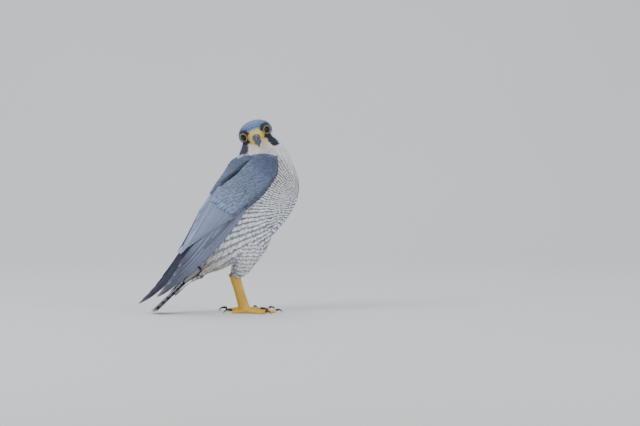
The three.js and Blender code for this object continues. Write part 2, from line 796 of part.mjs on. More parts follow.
function tarsus(side, grow = 0) {
  const low = hub(side);
  const high = ankle(side);
  const down = shank(side);
  let solid = limb(
    [
      { at: high.clone().addScaledVector(down, -5), r: 4.3 + grow, flat: 1.15 },
      { at: high.clone().lerp(low, 0.5), r: 3.7 + grow, flat: 1.1 },
      { at: low, r: 5 + grow, flat: 1 },
    ],
    10,
  );
  const palm = PALM_RADIUS + grow;
  solid = solid.add(ellipsoid(low.x, low.y, HUB_HEIGHT * 0.62, palm, palm, palm, 0, 5));
  const cut = GAP / 2 - grow - high.dot(down);
  return solid.trimByPlane(down.toArray(), -cut).trimByPlane([0, 0, 1], 0);
}

// Toes: direction in degrees from straight ahead (outwards is positive), length and pads.
const TOES = [
  { name: "middle", aim: 0, length: MIDDLE_TOE, pads: 3 },
  { name: "inner", aim: -30, length: MIDDLE_TOE * 0.68, pads: 2 },
  { name: "outer", aim: 38, length: MIDDLE_TOE * 0.76, pads: 3 },
  { name: "hind", aim: 178, length: MIDDLE_TOE * 0.5, pads: 1 },
];
const TOE_RADIUS = 3.5; // at the hub, where its middle is as high
const TOE_TIP = { radius: 2.4, height: 2.1 };
const PAD_BULGE = 0.12;

// A toe along +x from the foot's hub, with a pad under each joint and flat where it stands.
function toe({ length, pads, aim }) {
  const steps = pads * 3;
  const rings = [];
  for (let i = 0; i <= steps; i++) {
    const t = i / steps;
    const bulge = 1 + PAD_BULGE * Math.cos(2 * Math.PI * (t * pads - 0.5));
    const r = between(TOE_RADIUS, TOE_TIP.radius, t) * bulge * (i === steps ? 0.8 : 1);
    const z = between(TOE_RADIUS, TOE_TIP.height, eased(t));
    rings.push(
      Array.from({ length: 8 }, (_, k) => {
        const a = (2 * Math.PI * k) / 8 + Math.PI / 8;
        return new THREE.Vector3(between(2, length, t), r * Math.cos(a), z + r * Math.sin(a));
      }),
    );
  }
  let solid = loft(rings).trimByPlane([0, 0, 1], 0);
  for (const other of TOES) {
    const apart = Math.atan2(Math.sin((other.aim - aim) * DEG), Math.cos((other.aim - aim) * DEG));
    if (apart === 0 || Math.abs(apart) > 1) continue;
    const sign = Math.sign(apart);
    const normal = [sign * Math.sin(apart / 2), -sign * Math.cos(apart / 2), 0];
    solid = solid.trimByPlane(normal, GAP / 2);
  }
  return solid;
}

// A claw along +x from a toe's end: an arc between two angles that comes down to the floor.
const CLAW_START = -35;
const CLAW_END = 70;
const CLAW_TIP_HEIGHT = 0.7;
const CLAW_POINT = 0.3;
const FRONT_CLAW = { arc: 7.2, root: 1.9 };
const HIND_CLAW = { arc: 9, root: 2.3 };

function claw({ arc: radius, root }) {
  const rings = [];
  const steps = 5;
  for (let i = 0; i <= steps; i++) {
    const t = i / steps;
    const a = between(CLAW_START, CLAW_END, t) * DEG;
    const r = between(root, CLAW_POINT, t ** 1.15);
    const out = new THREE.Vector3(Math.sin(a), 0, Math.cos(a));
    const middle = out.clone().multiplyScalar(radius);
    middle.x -= radius * Math.sin(CLAW_START * DEG);
    middle.z += CLAW_TIP_HEIGHT - radius * Math.cos(CLAW_END * DEG);
    rings.push(
      Array.from({ length: 6 }, (_, k) => {
        const b = (2 * Math.PI * k) / 6;
        return middle
          .clone()
          .addScaledVector(out, r * Math.cos(b))
          .add(new THREE.Vector3(0, 0.85 * r * Math.sin(b), 0));
      }),
    );
  }
  return loft(rings).trimByPlane([1, 0, 0], GAP);
}

// Scene graph
const falcon = new THREE.Group();
falcon.name = "peregrine_falcon";

function addMesh(group, name, solid, material) {
  const { vertProperties, triVerts, numProp } = solid.getMesh();
  const count = vertProperties.length / numProp;
  const places = new Float32Array(count * 3);
  for (let i = 0; i < count; i++)
    places.set(vertProperties.subarray(i * numProp, i * numProp + 3), i * 3);
  const geometry = new THREE.BufferGeometry();
  geometry.setAttribute("position", new THREE.BufferAttribute(places, 3));
  geometry.setIndex(new THREE.BufferAttribute(new Uint32Array(triVerts), 1));
  geometry.computeVertexNormals();
  const mesh = new THREE.Mesh(geometry, material);
  mesh.name = name;
  group.add(mesh);
  return mesh;
}

const LAST = TRUNK.length - 1;
const torsoPlane = trunkPlane(TORSO_ENDS);
const neckPlane = trunkPlane(NECK_ENDS);
const trunk = trunkBetween(0, LAST, 0);
const trunkGrown = trunkBetween(0, LAST, GAP);
addMesh(falcon, "torso", tailward(trunk, torsoPlane), BARRED);
addMesh(falcon, "neck", tailward(headward(trunk, torsoPlane), neckPlane), BARRED);

const head = new THREE.Group();
head.applyMatrix4(headMatrix);
falcon.add(head);
addMesh(falcon, "head", headFlesh(headward(trunk, neckPlane), neckPlane), HOOD);
addMesh(head, "cere", cere(), SKIN);
addMesh(head, "bill_upper", billUpper(), HORN);
addMesh(head, "bill_lower", billLower(0), HORN);

for (const [side, name] of [
  [1, "left"],
  [-1, "right"],
]) {
  addMesh(head, "eye_" + name, eyeBall(side, EYE_RADIUS, 8), EYE);
  addMesh(falcon, "wing_arm_" + name, wingArm(side, trunkGrown), SLATE);
  addMesh(falcon, "scapulars_" + name, scapulars(side, trunkGrown), SLATE);
  addMesh(falcon, "secondaries_" + name, secondaries(side), SLATE);
  addMesh(falcon, "primaries_" + name, primaries(side), FLIGHT);
  addMesh(falcon, "thigh_" + name, thigh(side, trunkGrown), BARRED);
  addMesh(falcon, "tarsus_" + name, tarsus(side), SKIN);

  const foot = new THREE.Group();
  foot.position.copy(hub(side)).setZ(0);
  falcon.add(foot);
  const socket = tarsus(side, GAP).translate([-foot.position.x, -foot.position.y, 0]);
  for (const t of TOES) {
    const aim = side * (t.aim + FOOT_TURN);
    const solid = toe(t).scale([1, side, 1]).rotate([0, 0, aim]).subtract(socket);
    addMesh(foot, `toe_${t.name}_${name}`, largest(solid), SKIN);
    const shape = t.name === "hind" ? HIND_CLAW : FRONT_CLAW;
    const clawMesh = addMesh(foot, `claw_${t.name}_${name}`, claw(shape), CLAW);
    clawMesh.rotation.z = aim * DEG;
    clawMesh.position.set(Math.cos(aim * DEG), Math.sin(aim * DEG), 0).multiplyScalar(t.length);
  }
}

addMesh(falcon, "tail", tail(), FLIGHT);
addMesh(falcon, "undertail_coverts", undertailCoverts(), BARRED);

export default falcon;
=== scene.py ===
"""Looks of a life-size still model of an adult peregrine falcon at rest, its head turned to the right.

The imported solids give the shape. One skin replaces the nodes of flesh, feathers lie over it as closed
vanes, and the wings' and tail's feathers take the place of the solids' own. Blender objects are in
metres; the helper functions work in millimetres, in the model's frame: +X is where the bird faces,
+Z is up.
"""

import math

import bmesh
import bpy
import numpy as np
from mathutils import Matrix, Vector
from mathutils.bvhtree import BVHTree


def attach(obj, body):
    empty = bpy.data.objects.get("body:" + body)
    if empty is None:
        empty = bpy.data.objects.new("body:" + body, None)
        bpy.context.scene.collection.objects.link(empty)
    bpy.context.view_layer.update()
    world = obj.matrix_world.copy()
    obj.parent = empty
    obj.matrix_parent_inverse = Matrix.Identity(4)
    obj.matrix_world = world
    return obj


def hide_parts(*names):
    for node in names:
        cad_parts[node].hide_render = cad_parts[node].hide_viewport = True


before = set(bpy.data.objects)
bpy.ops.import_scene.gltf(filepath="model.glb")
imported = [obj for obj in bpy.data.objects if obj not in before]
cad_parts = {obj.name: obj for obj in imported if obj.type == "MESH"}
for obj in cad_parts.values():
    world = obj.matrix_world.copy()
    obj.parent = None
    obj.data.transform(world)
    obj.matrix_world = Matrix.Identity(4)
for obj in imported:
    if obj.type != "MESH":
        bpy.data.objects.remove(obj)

bl_info = {
    "name": "Peregrine falcon looks",
    "blender": (4, 5, 0),
    "version": (1, 0, 0),
    "location": "3D View > Sidebar > Falcon",
    "description": "Builds the skin, plumage, eyes, bill and feet of a still falcon over its packed solids",
    "category": "Object",
}

MM = 0.001
SIDES = (("left", 1), ("right", -1))

# The solids' own layout, repeated from the part's source
BODY_TILT = math.radians(48.8)
TRUNK_CENTRE = np.array([30.55, 0.0, 146.0])
TAIL_BEND = math.radians(6.1)
TAIL_ROLL = math.radians(11)
TAIL_FREE = 100.0
HEAD_CENTRE = np.array([56.05, 0.0, 277.0])
HEAD_TURN, HEAD_NOD, HEAD_ROLL = (math.radians(a) for a in (102, 7, 19.4))
EYE_RADIUS = 9.0
EYE_CENTRE = np.array([8.0, 14.0, 2.0])
EYE_OUTWARD = math.radians(42)
STANCE = 23.0
ANKLE = np.array([23.55, 0.0, 55.0])
HUB = np.array([37.55, 0.0, 8.5])
LEFT_WING_DROP = 25.0

# Trunk: station, middle (u, h), turn in degrees, half-width, reach to the back, reach to the belly
TRUNK = np.array([
    [0, -100, -3, -6.1, 19, 12, 14],
    [1, -72, -4, -6, 28, 25, 30],
    [2, -35, -2, 0, 37, 38, 47],
    [3, 5, 0, 1, 43, 48, 57],
    [4, 44, 2, 7, 44, 52, 61],
    [5, 72, 12, 22, 42, 53, 61],
    [6, 89, 29, 44, 37, 45, 48],
    [7, 101, 45, 57, 28, 37, 38],
    [8, 112, 61, 60, 16, 24, 24],
], float)
NECK_ENDS = 7.05

# The surface on which the folded wings lie: u, middle h, half-width, reach to the back and to the belly
SHELL = np.array([
    [-205, 26, 10, 9, 5],
    [-170, 17, 17, 12, 6],
    [-135, 11, 23, 18, 8],
    [-100, 6, 29, 27, 12],
    [-65, 3, 36, 37, 30],
    [-30, 1, 42, 47, 48],
    [5, 0, 46, 53, 58],
    [45, 3, 47, 57, 58],
    [72, 10, 47, 57, 52],
    [95, 17, 45, 52, 42],
    [114, 19, 40, 40, 34],
], float)
WING_TOP = np.array([[-60, 9], [10, 12], [50, 32], [80, 47], [96, 58], [107, 79]], float)
WING_EDGE = np.array([[-60, 58], [-20, 67], [29, 83], [73, 94], [91, 99], [107, 84]], float)
ARM_REAR, ARM_FRONT = 18.0, 107.0
ARM_RISE, ARM_REAR_RISE = 3.8, 2.8
# Bundles of flight feathers: u, primaries' upper and lower edge, secondaries' upper and lower edge
QUILLS = np.array([
    [-176, 58, 88, 18, 34],
    [-125, 34, 68, 16, 32],
    [-100, 32, 70, 14, 31],
    [-79, 34, 72, 12, 45],
    [-34, 40, 76, 10, 64],
    [18, 50, 79, 13, 80],
], float)
SECONDARY_TIPS = np.array([-10, -24, -37, -50, -63, -75, -86, -96, -103], float)
PRIMARY_TIPS = np.array([[-169, 84], [-176, 78], [-168, 71], [-153, 64], [-137, 56], [-121, 48]], float)
QUILL_PITCH = 0.88


# Arithmetic shared by the builders

def srgb(code):
    """A colour written as #rrggbb, in the linear values that Blender works with."""
    values = [int(code[i:i + 2], 16) / 255 for i in (1, 3, 5)]
    return tuple(v / 12.92 if v <= 0.04045 else ((v + 0.055) / 1.055) ** 2.4 for v in values)


def between(a, b, t):
    return a + (b - a) * t


def smooth(low, high, x):
    """0 below low, 1 above high and a smooth rise between them; high may be the smaller."""
    t = np.clip((np.asarray(x, float) - low) / (high - low), 0, 1)
    return t * t * (3 - 2 * t)


def unit(v):
    return v / np.maximum(np.linalg.norm(v, axis=-1, keepdims=True), 1e-9)


def along(stations, x):
    """Values on a smooth curve through the stations, whose first column is the place; a row for each x."""
    x = np.ravel(np.asarray(x, float))
    places, values = stations[:, 0], stations[:, 1:]
    last = len(places) - 1
    i = np.clip(np.searchsorted(places, x) - 1, 0, last - 1)
    before, after = np.maximum(np.arange(last + 1) - 1, 0), np.minimum(np.arange(last + 1) + 1, last)
    slope = (values[after] - values[before]) / (places[after] - places[before])[:, None]
    width = (places[i + 1] - places[i])[:, None]
    t = np.clip((x[:, None] - places[i][:, None]) / width, 0, 1)
    return (
        values[i] * (2 * t ** 3 - 3 * t ** 2 + 1)
        + slope[i] * width * (t ** 3 - 2 * t ** 2 + t)
        + values[i + 1] * (3 * t ** 2 - 2 * t ** 3)
        + slope[i + 1] * width * (t ** 3 - t ** 2)
    )


def on_body(u, y, h):
    """Points of body coordinates (u to the head, y to the left, h to the back) in the model's frame."""
    c, s = math.cos(BODY_TILT), math.sin(BODY_TILT)
    return np.stack([u * c - h * s, y + 0 * u, u * s + h * c], -1) + TRUNK_CENTRE


def to_body(points):
    c, s = math.cos(BODY_TILT), math.sin(BODY_TILT)
    p = points - TRUNK_CENTRE
    return p[..., 0] * c + p[..., 2] * s, p[..., 1], p[..., 2] * c - p[..., 0] * s


def on_shell(side, u, phi, lift):
    """Points over the folded wing's surface. phi is in degrees from the middle of the back."""
    u, phi, lift = np.broadcast_arrays(*(np.asarray(a, float) for a in (u, phi, lift)))
    h, w, d, v = (a.reshape(u.shape) for a in along(SHELL, u.ravel()).T)
    c, s = np.cos(np.radians(phi)), np.sin(np.radians(phi))
    reach = np.where(c > 0, d, v)
    nx, ny = s / w, c / reach
    size = np.hypot(nx, ny)
    return on_body(u, side * (w * s + nx / size * lift), h + reach * c + ny / size * lift)


def pillow(t, power):
    return np.maximum(4 * t * (1 - t), 0) ** power


def wing_span(u):
    """phi of the folded arm's upper and lower edge at u."""
    return along(WING_TOP, u)[:, 0], along(WING_EDGE, u)[:, 0]


def arm_top(u, phi):
    """Height of the folded arm's upper face over the shell."""
    flat = np.asarray(u, float).ravel()
    i = np.clip((flat - ARM_REAR) / (ARM_FRONT - ARM_REAR), 0, 1)
    top, low = wing_span(np.clip(flat, ARM_REAR, ARM_FRONT))
    j = np.clip((np.asarray(phi, float).ravel() - top) / (low - top), 0.004, 0.996)
    rise = pillow(j, between(0.16, 0.45, np.minimum(1, 3 * i)))
    made = rise * (ARM_RISE + ARM_REAR_RISE * (1 - i) ** 4) * np.minimum(1, 5 * (1 - i)) ** 0.6 - 0.2
    # the feathers turn in over the wing's front, its lower edge and, at the rear, its upper edge
    front = 7.0 * smooth(0.9, 1.0, i) ** 2
    edges = 3.5 * smooth(0.94, 1.0, j) + 2.5 * smooth(0.06, 0.0, j) * smooth(58, 44, flat)
    return (made - (front + edges)).reshape(np.shape(u))


def turning(axis, angle):
    return np.array(Matrix.Rotation(angle, 3, axis))


HEAD_AXES = turning("Z", -HEAD_TURN) @ turning("X", HEAD_ROLL) @ turning("Y", HEAD_NOD)


def in_head(points):
    """The head's own coordinates: x to the bill, y to the bird's left, z to the crown."""
    return (points - HEAD_CENTRE) @ HEAD_AXES


def from_head(points):
    return np.asarray(points, float) @ HEAD_AXES.T + HEAD_CENTRE


TAIL_ROOT = on_body(np.array(-101.0), 0.0, -2.8)
TAIL_DOWN = BODY_TILT - TAIL_BEND
TAIL_AXES = np.column_stack([
    [-math.cos(TAIL_DOWN), 0, -math.sin(TAIL_DOWN)],
    [0, -1, 0],
    [-math.sin(TAIL_DOWN), 0, math.cos(TAIL_DOWN)],
]) @ turning("X", TAIL_ROLL)


def in_tail(points):
    """Points of the tail's own frame (x back along it, z up from it) in the model's frame."""
    return np.asarray(points, float) @ TAIL_AXES.T + TAIL_ROOT


def trunk_place(points):
    """Station on the trunk, angle round it (0 on the back, 180 on the belly, left is positive) and turn."""
    u, y, h = to_body(points)
    stations = np.linspace(0, 8, 121)
    mid_u, mid_h, turn, w, d, v = along(TRUNK, stations).T
    turn = np.radians(turn)
    ahead = (u[:, None] - mid_u) * np.cos(turn) + (h[:, None] - mid_h) * np.sin(turn)
    lift = (h[:, None] - mid_h) * np.cos(turn) - (u[:, None] - mid_u) * np.sin(turn)
    best = np.argmin(np.abs(ahead) + 0.12 * np.abs(lift), 1)
    rows = np.arange(len(points))
    lift, reach = lift[rows, best], np.where(lift[rows, best] > 0, d[best], v[best])
    return stations[best], np.degrees(np.arctan2(y / w[best], lift / reach)), turn[best]


NECK_MIDDLE = along(TRUNK, NECK_ENDS)[0]
NECK_TURN = math.radians(NECK_MIDDLE[2]) + BODY_TILT
NECK_NORMAL = np.array([math.cos(NECK_TURN), 0, math.sin(NECK_TURN)])
NECK_POINT = on_body(NECK_MIDDLE[0], 0.0, NECK_MIDDLE[1])


def past_neck(points):
    """Distance past the plane where the neck meets the head."""
    return (points - NECK_POINT) @ NECK_NORMAL


def ripple(points, size, seed):
    """Smooth noise of about -1 to 1 at points, from a few waves of about this size in millimetres."""
    rng = np.random.default_rng(seed)
    total = np.zeros(len(points))
    for _ in range(6):
        wave = unit(rng.normal(size=3)) * 2 * math.pi / (size * rng.uniform(0.7, 1.5))
        total += np.sin(points @ wave + rng.uniform(0, 2 * math.pi))
    return total / 3


# Markings: the same functions colour the skin and the feathers over it

FAN_CENTRE = np.array([135.0, 161.0])


def fan(points, angle):
    """Place and distance from a point before the breast, from which the bars run like spokes.

    The last value is 1 in front, where the bars are level instead.
    """
    x, z = FAN_CENTRE[0] - points[:, 0], points[:, 2] - FAN_CENTRE[1]
    distance = np.hypot(x, z)
    frontal = np.maximum(smooth(52, 24, distance), smooth(140, 172, np.abs(angle)))
    return x, z, distance, frontal


def bar_phase(points, angle):
    """How many dark bars lie below a point of the underparts."""
    x, z, _, frontal = fan(points, angle)
    turned = np.arctan2(z, np.maximum(x, 1))
    spokes = np.where(turned > 0, turned / 0.054, turned / 0.074)
    return between(spokes, z / 5.0, frontal)


def mixed(colours, weights):
    """Colours laid over each other in turn, each where its weight is 1."""
    made = np.repeat(np.array(colours[0])[None], len(weights[1]), 0)
    for colour, weight in zip(colours[1:], weights[1:]):
        weight = np.clip(weight, 0, 1)[:, None]
        made = made * (1 - weight) + np.array(colour) * weight
    return made


def from_eye(q):
    """Angle from an eye's axis in degrees, and distance from its middle; q is in the head's frame."""
    off = q * np.array([1, 0, 1]) + np.abs(q) * np.array([0, 1, 0]) - EYE_CENTRE
    axis = np.array([math.cos(EYE_OUTWARD), math.sin(EYE_OUTWARD), 0])
    distance = np.linalg.norm(off, axis=1)
    return np.degrees(np.arccos(np.clip(off @ axis / np.maximum(distance, 0.1), -1, 1))), distance


def head_marks(points, look):
    """Colour of the head: hood, dark moustache, pale cheek and throat, yellow before the eyes."""
    q = in_head(points)
    x, y, z = q.T
    side = np.abs(y)
    ragged = ripple(points, 5, 3)
    round_head = np.degrees(np.arctan2(side, x + 5)) + 2.5 * ragged
    low = z + 0.8 * ragged
    off_axis, eye = from_eye(q)
    throat = smooth(-8.5, -11, low) * smooth(39, 32, round_head)
    cheek = smooth(-5, -9.5, low + 0.1 * (round_head - 90))
    cheek = cheek * smooth(63, 70, round_head) * smooth(136, 126, round_head)
    # white under the moustache's lower end
    below = smooth(-28, -32, low + 0.16 * np.abs(round_head - 52)) * smooth(135, 122, round_head)
    moustache = smooth(-1, -5, low) * smooth(31, 38, round_head) * smooth(69, 62, round_head) * (1 - below)
    bare = np.hypot(side / 13.8, (z + 1.5) / 9.2) + 0.05 * ragged
    yellow = smooth(1.08, 0.88, bare) * smooth(11, 15, x) * smooth(-12, -9, z)
    buff = smooth(1.5, 1.0, bare) * smooth(9, 13, x) * smooth(-6, -1, z)
    dark_eye = smooth(74, 64, off_axis) * smooth(17, 13, eye)
    brow = smooth(6, 9, z) * smooth(13.5, 11, z) * smooth(9, 13, side) * smooth(-4, 2, x)
    # the crown is painted lighter towards its top: a painted highlight of the light from above
    painted_crown_highlight = 0.35 * smooth(8, 20, z) * (1 + ragged)
    # on the bird's right the moustache takes some of the bars' lighter colour: a painted sheen of the light
    # on that side
    colours = [look.hood, look.slate_light, look.moustache, look.bar, look.white, look.throat,
               look.white, look.forehead, look.lore_yellow, look.moustache, look.moustache]
    weights = [1, painted_crown_highlight, moustache, 0.6 * moustache * smooth(0, -6, y), cheek, throat, below,
               0.85 * buff, yellow, 0.75 * brow * (1 - yellow), dark_eye * (1 - 0.6 * yellow)]
    return mixed(colours, weights)


def plumage(points, look, thigh):
    """Linear colour, strength of the bars and their phase at points; thigh is 1 for a thigh's points."""
    station, angle, _ = trunk_place(points)
    off = np.abs(angle)
    past = past_neck(points)
    on_head = smooth(-1.5, 1.5, past + ripple(points, 6, 5))
    ragged = ripple(points, 7, 4)
    turn_of_nape = between(0, 85, smooth(5.4, 7.2, station))
    nape = smooth(62, 50, np.abs(angle - turn_of_nape) + 3 * ragged)
    collar_top = np.minimum(236 + 0.5 * (points[:, 0] - 22), 247)
    collar = smooth(3, -3, points[:, 2] - collar_top + 2 * ragged) * smooth(96, 84, off) * (station < 6.9)
    back = np.where(station < 5.3, smooth(84, 74, off + 3 * ragged), np.maximum(nape, collar))
    back = back * (1 - thigh)
    breast_white = smooth(4.5, 6.0, station + 0.12 * ragged)
    _, z, distance, _ = fan(points, angle)
    # the bars fade out on the upper breast, further up at its sides
    upper = smooth(5.2, 6.0, station + 0.15 * ragged - 0.9 * smooth(155, 110, off))
    strength = (1 - back) * between(1, 0.8, smooth(40, 110, distance)) * (1 - upper)
    strength = strength * between(1, 0.8, smooth(2.2, 0.8, station)) * between(1, 0.85, thigh)
    warm = smooth(60, 10, np.abs(z - 55)) * smooth(40, 110, points[:, 0])
    under_tail = smooth(2.0, 0.6, station)
    colours = [look.belly, look.white, look.breast_warm, look.undertail, look.slate]
    weights = [1, breast_white, 0.45 * warm, under_tail, back]
    colour = mixed(colours, weights)
    colour = colour * (1 - on_head)[:, None] + head_marks(points, look) * on_head[:, None]
    phase = np.where(thigh > 0.5, points[:, 2] / 5.8, bar_phase(points, angle))
    strength = strength * (1 - on_head)
    strength = np.maximum(strength, 0.22 * back * (station < 5.0))
    return colour, strength, phase


def thigh_share(points):
    """1 on the feathered thighs, 0 on the trunk."""
    side = np.sign(points[:, 1])
    low = np.column_stack([0 * side + ANKLE[0], side * STANCE, 0 * side + ANKLE[2]])
    high = on_body(np.full(len(points), 2.0), side * (STANCE - 2), -34.0)
    axis = high - low
    t = np.clip(((points - low) * axis).sum(1) / (axis ** 2).sum(1), 0, 1)
    distance = np.linalg.norm(points - low - axis * t[:, None], axis=1)
    return smooth(28, 18, distance) * smooth(1.0, 0.72, t)


# Meshes

class Vanes:
    """Closed feathers gathered into one mesh: rows of points, a bowed upper face and a flat lower one."""

    def __init__(self):
        self.points, self.faces, self.ends = [], [], []
        self.layers = {"vane": [], "mark": [], "tint": [], "reach": []}
        self.patches = []
        self.count = 0

    def add(self, grid, vane, mark, tint, reach, patch):
        """grid is (feathers, rows, columns, 3); the other values broadcast over its points."""
        n, rows, cols = grid.shape[:3]
        ids = self.count + np.arange(n * rows * cols).reshape(n, rows, cols)
        a, b = ids[:, :-1, :], ids[:, 1:, :]
        upper = np.stack([a[..., :-1], a[..., 1:], b[..., 1:], b[..., :-1]], -1)
        lower = np.stack([a[..., -1], a[..., 0], b[..., 0], b[..., -1]], -1)
        self.faces.append(np.concatenate([upper.reshape(-1, 4), lower.reshape(-1, 4)]))
        self.ends.append((ids[:, 0, ::-1], ids[:, -1, :]))
        self.points.append(grid.reshape(-1, 3))
        values = (("vane", vane, 3), ("mark", mark, 3), ("tint", tint, 3), ("reach", reach, 1))
        for key, value, width in values:
            self.layers[key].append(np.broadcast_to(value, (n, rows, cols, width)).reshape(-1, width))
        self.patches.append(patch.reshape(-1, 2))
        self.count += n * rows * cols

    def mesh(self, name):
        faces = np.concatenate(self.faces)
        corners = [faces.ravel()]
        totals = [np.full(len(faces), 4)]
        for first, last in self.ends:
            for ring in (first, last):
                corners.append(ring.ravel())
                totals.append(np.full(len(ring), ring.shape[1]))
        layers = {key: np.concatenate(value) for key, value in self.layers.items()}
        return mesh_from(name, np.concatenate(self.points), np.concatenate(corners), np.concatenate(totals),
                         layers, np.concatenate(self.patches))


def mesh_from(name, points, corners, totals, layers, patches):
    """A smooth-shaded mesh from points in millimetres, with its attributes and the OFBake map."""
    mesh = bpy.data.meshes.new(name)
    mesh.vertices.add(len(points))
    mesh.vertices.foreach_set("co", (points * MM).astype(np.float32).ravel())
    mesh.loops.add(len(corners))
    mesh.loops.foreach_set("vertex_index", corners.astype(np.int32))
    mesh.polygons.add(len(totals))
    starts = np.concatenate([[0], np.cumsum(totals)[:-1]])
    mesh.polygons.foreach_set("loop_start", starts.astype(np.int32))
    mesh.update(calc_edges=True)
    mesh.polygons.foreach_set("use_smooth", np.ones(len(totals), bool))
    for key, value in layers.items():
        write_layer(mesh, key, value)
    if patches is not None:
        uv = mesh.uv_layers.new(name="OFBake")
        uv.data.foreach_set("uv", patches[corners].astype(np.float32).ravel())
    mesh.validate()
    return mesh


def write_layer(mesh, key, value):
    """A value at each point, under this name: one number, a vector or a colour."""
    value = np.asarray(value, np.float32)
    if key == "tint":
        made = mesh.attributes.new(key, "FLOAT_COLOR", "POINT")
        made.data.foreach_set("color", np.column_stack([value, np.ones(len(value), np.float32)]).ravel())
    elif value.ndim > 1 and value.shape[1] == 3:
        made = mesh.attributes.new(key, "FLOAT_VECTOR", "POINT")
        made.data.foreach_set("vector", value.ravel())
    else:
        made = mesh.attributes.new(key, "FLOAT", "POINT")
        made.data.foreach_set("value", value.ravel())


def piece(name, mesh, material, nodes=()):
    """Puts a mesh in the scene as a piece of the bird that stands for these CAD nodes."""
    made = bpy.data.objects.new(name, mesh)
    bpy.context.scene.collection.objects.link(made)
    mesh.materials.clear()
    mesh.materials.append(material)
    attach(made, "root")
    if nodes:
        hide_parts(*nodes)
    return made


def slate(name, mesh, node):
    """A piece of the wing or the mantle, which stands for one CAD node."""
    piece(name, mesh, covert_material(), [node])


def coordinates(mesh, what="co"):
    flat = np.zeros(len(mesh.vertices) * 3, np.float32)
    if what == "co":
        mesh.vertices.foreach_get("co", flat)
        return flat.reshape(-1, 3).astype(float) / MM
    mesh.vertex_normals.foreach_get("vector", flat)
    return flat.reshape(-1, 3).astype(float)


def set_coordinates(mesh, points):
    mesh.vertices.foreach_set("co", (points * MM).astype(np.float32).ravel())
    mesh.update()


def refined(nodes, name, voxel, rounds, swell=0.0):
    """A smooth closed mesh, in millimetres, round the solids of CAD nodes that are left as they are."""
    points, faces, count = [], [], 0
    for node in nodes:
        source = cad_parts[node].data
        source.calc_loop_triangles()
        tris = np.zeros(len(source.loop_triangles) * 3, np.int32)
        source.loop_triangles.foreach_get("vertices", tris)
        places, index = np.unique(np.round(coordinates(source), 4), axis=0, return_inverse=True)
        index = index.ravel()
        tris = index[tris].reshape(-1, 3)
        if swell:
            a, b, c = (places[tris[:, k]] for k in range(3))
            across = np.cross(b - a, c - a)
            normal = np.zeros_like(places)
            for k in range(3):
                np.add.at(normal, tris[:, k], across)
            places = places + unit(normal) * swell
        points.append(places)
        faces.append(tris + count)
        count += len(places)
    corners = np.concatenate(faces).ravel()
    totals = np.full(len(corners) // 3, 3)
    rough = mesh_from(name + "_rough", np.concatenate(points), corners, totals, {}, None)
    holder = bpy.data.objects.new(name + "_rough", rough)
    bpy.context.scene.collection.objects.link(holder)
    remesh = holder.modifiers.new("even", "REMESH")
    remesh.mode = "VOXEL"
    remesh.voxel_size = voxel * MM
    soften = holder.modifiers.new("soften", "SMOOTH")
    soften.factor = 0.5
    soften.iterations = rounds
    made = bpy.data.meshes.new_from_object(holder.evaluated_get(bpy.context.evaluated_depsgraph_get()))
    made.name = name
    bpy.data.objects.remove(holder)
    bpy.data.meshes.remove(rough)
    made.polygons.foreach_set("use_smooth", np.ones(len(made.polygons), bool))
    made.update()
    return made


def soften(mesh, chosen, rounds):
    """Evens out part of a mesh, where two solids met at a crease."""
    work = bmesh.new()
    work.from_mesh(mesh)
    work.verts.ensure_lookup_table()
    members = [work.verts[i] for i in np.flatnonzero(chosen).tolist()]
    axes = {f"use_axis_{axis}": True for axis in "xyz"}
    for _ in range(rounds):
        bmesh.ops.smooth_vert(work, verts=members, factor=0.5, **axes)
    work.to_mesh(mesh)
    work.free()
    mesh.update()


def unwrapped(mesh, margin=0.002):
    """Gives a mesh the OFBake map: an unwrap of its own shape."""
    holder = bpy.data.objects.new("unwrapping", mesh)
    bpy.context.scene.collection.objects.link(holder)
    mesh.uv_layers.new(name="OFBake")
    for other in bpy.context.selected_objects:
        other.select_set(False)
    bpy.context.view_layer.objects.active = holder
    holder.select_set(True)
    bpy.ops.object.mode_set(mode="EDIT")
    bpy.ops.mesh.select_all(action="SELECT")
    bpy.ops.uv.smart_project(angle_limit=math.radians(66), island_margin=margin)
    bpy.ops.object.mode_set(mode="OBJECT")
    bpy.data.objects.remove(holder)


class Surface:
    """A mesh that feathers grow on: nearest points, its own unwrap there, and random places."""

    def __init__(self, mesh):
        mesh.calc_loop_triangles()
        count = len(mesh.loop_triangles)
        tris, loops = np.zeros(count * 3, np.int32), np.zeros(count * 3, np.int32)
        mesh.loop_triangles.foreach_get("vertices", tris)
        mesh.loop_triangles.foreach_get("loops", loops)
        uv = np.zeros(len(mesh.loops) * 2, np.float32)
        mesh.uv_layers["OFBake"].data.foreach_get("uv", uv)
        self.points, self.tris = coordinates(mesh), tris.reshape(-1, 3)
        self.uv = uv.reshape(-1, 2)[loops].reshape(-1, 3, 2)
        self.normals = coordinates(mesh, "normal")
        self.tree = BVHTree.FromPolygons(self.points.tolist(), self.tris.tolist())

    def nearest(self, points):
        found = [self.tree.find_nearest(p) for p in points.tolist()]
        return (np.array([f[0][:] for f in found]), np.array([f[1][:] for f in found]),
                np.array([f[2] for f in found]))

    def sample(self, weight, count, rng):
        """Random places, more of them where weight per square millimetre is high."""
        corner = self.points[self.tris]
        across = np.cross(corner[:, 1] - corner[:, 0], corner[:, 2] - corner[:, 0])
        area = np.linalg.norm(across, axis=1) / 2
        share = area * weight
        chosen = rng.choice(len(area), count, p=share / share.sum())
        a, b = rng.random(count), rng.random(count)
        a, b = np.where(a + b > 1, 1 - a, a), np.where(a + b > 1, 1 - b, b)
        mix = np.column_stack([1 - a - b, a, b])
        normal = unit((self.normals[self.tris[chosen]] * mix[..., None]).sum(1))
        return (corner[chosen] * mix[..., None]).sum(1), normal, (self.uv[chosen] * mix[..., None]).sum(1)


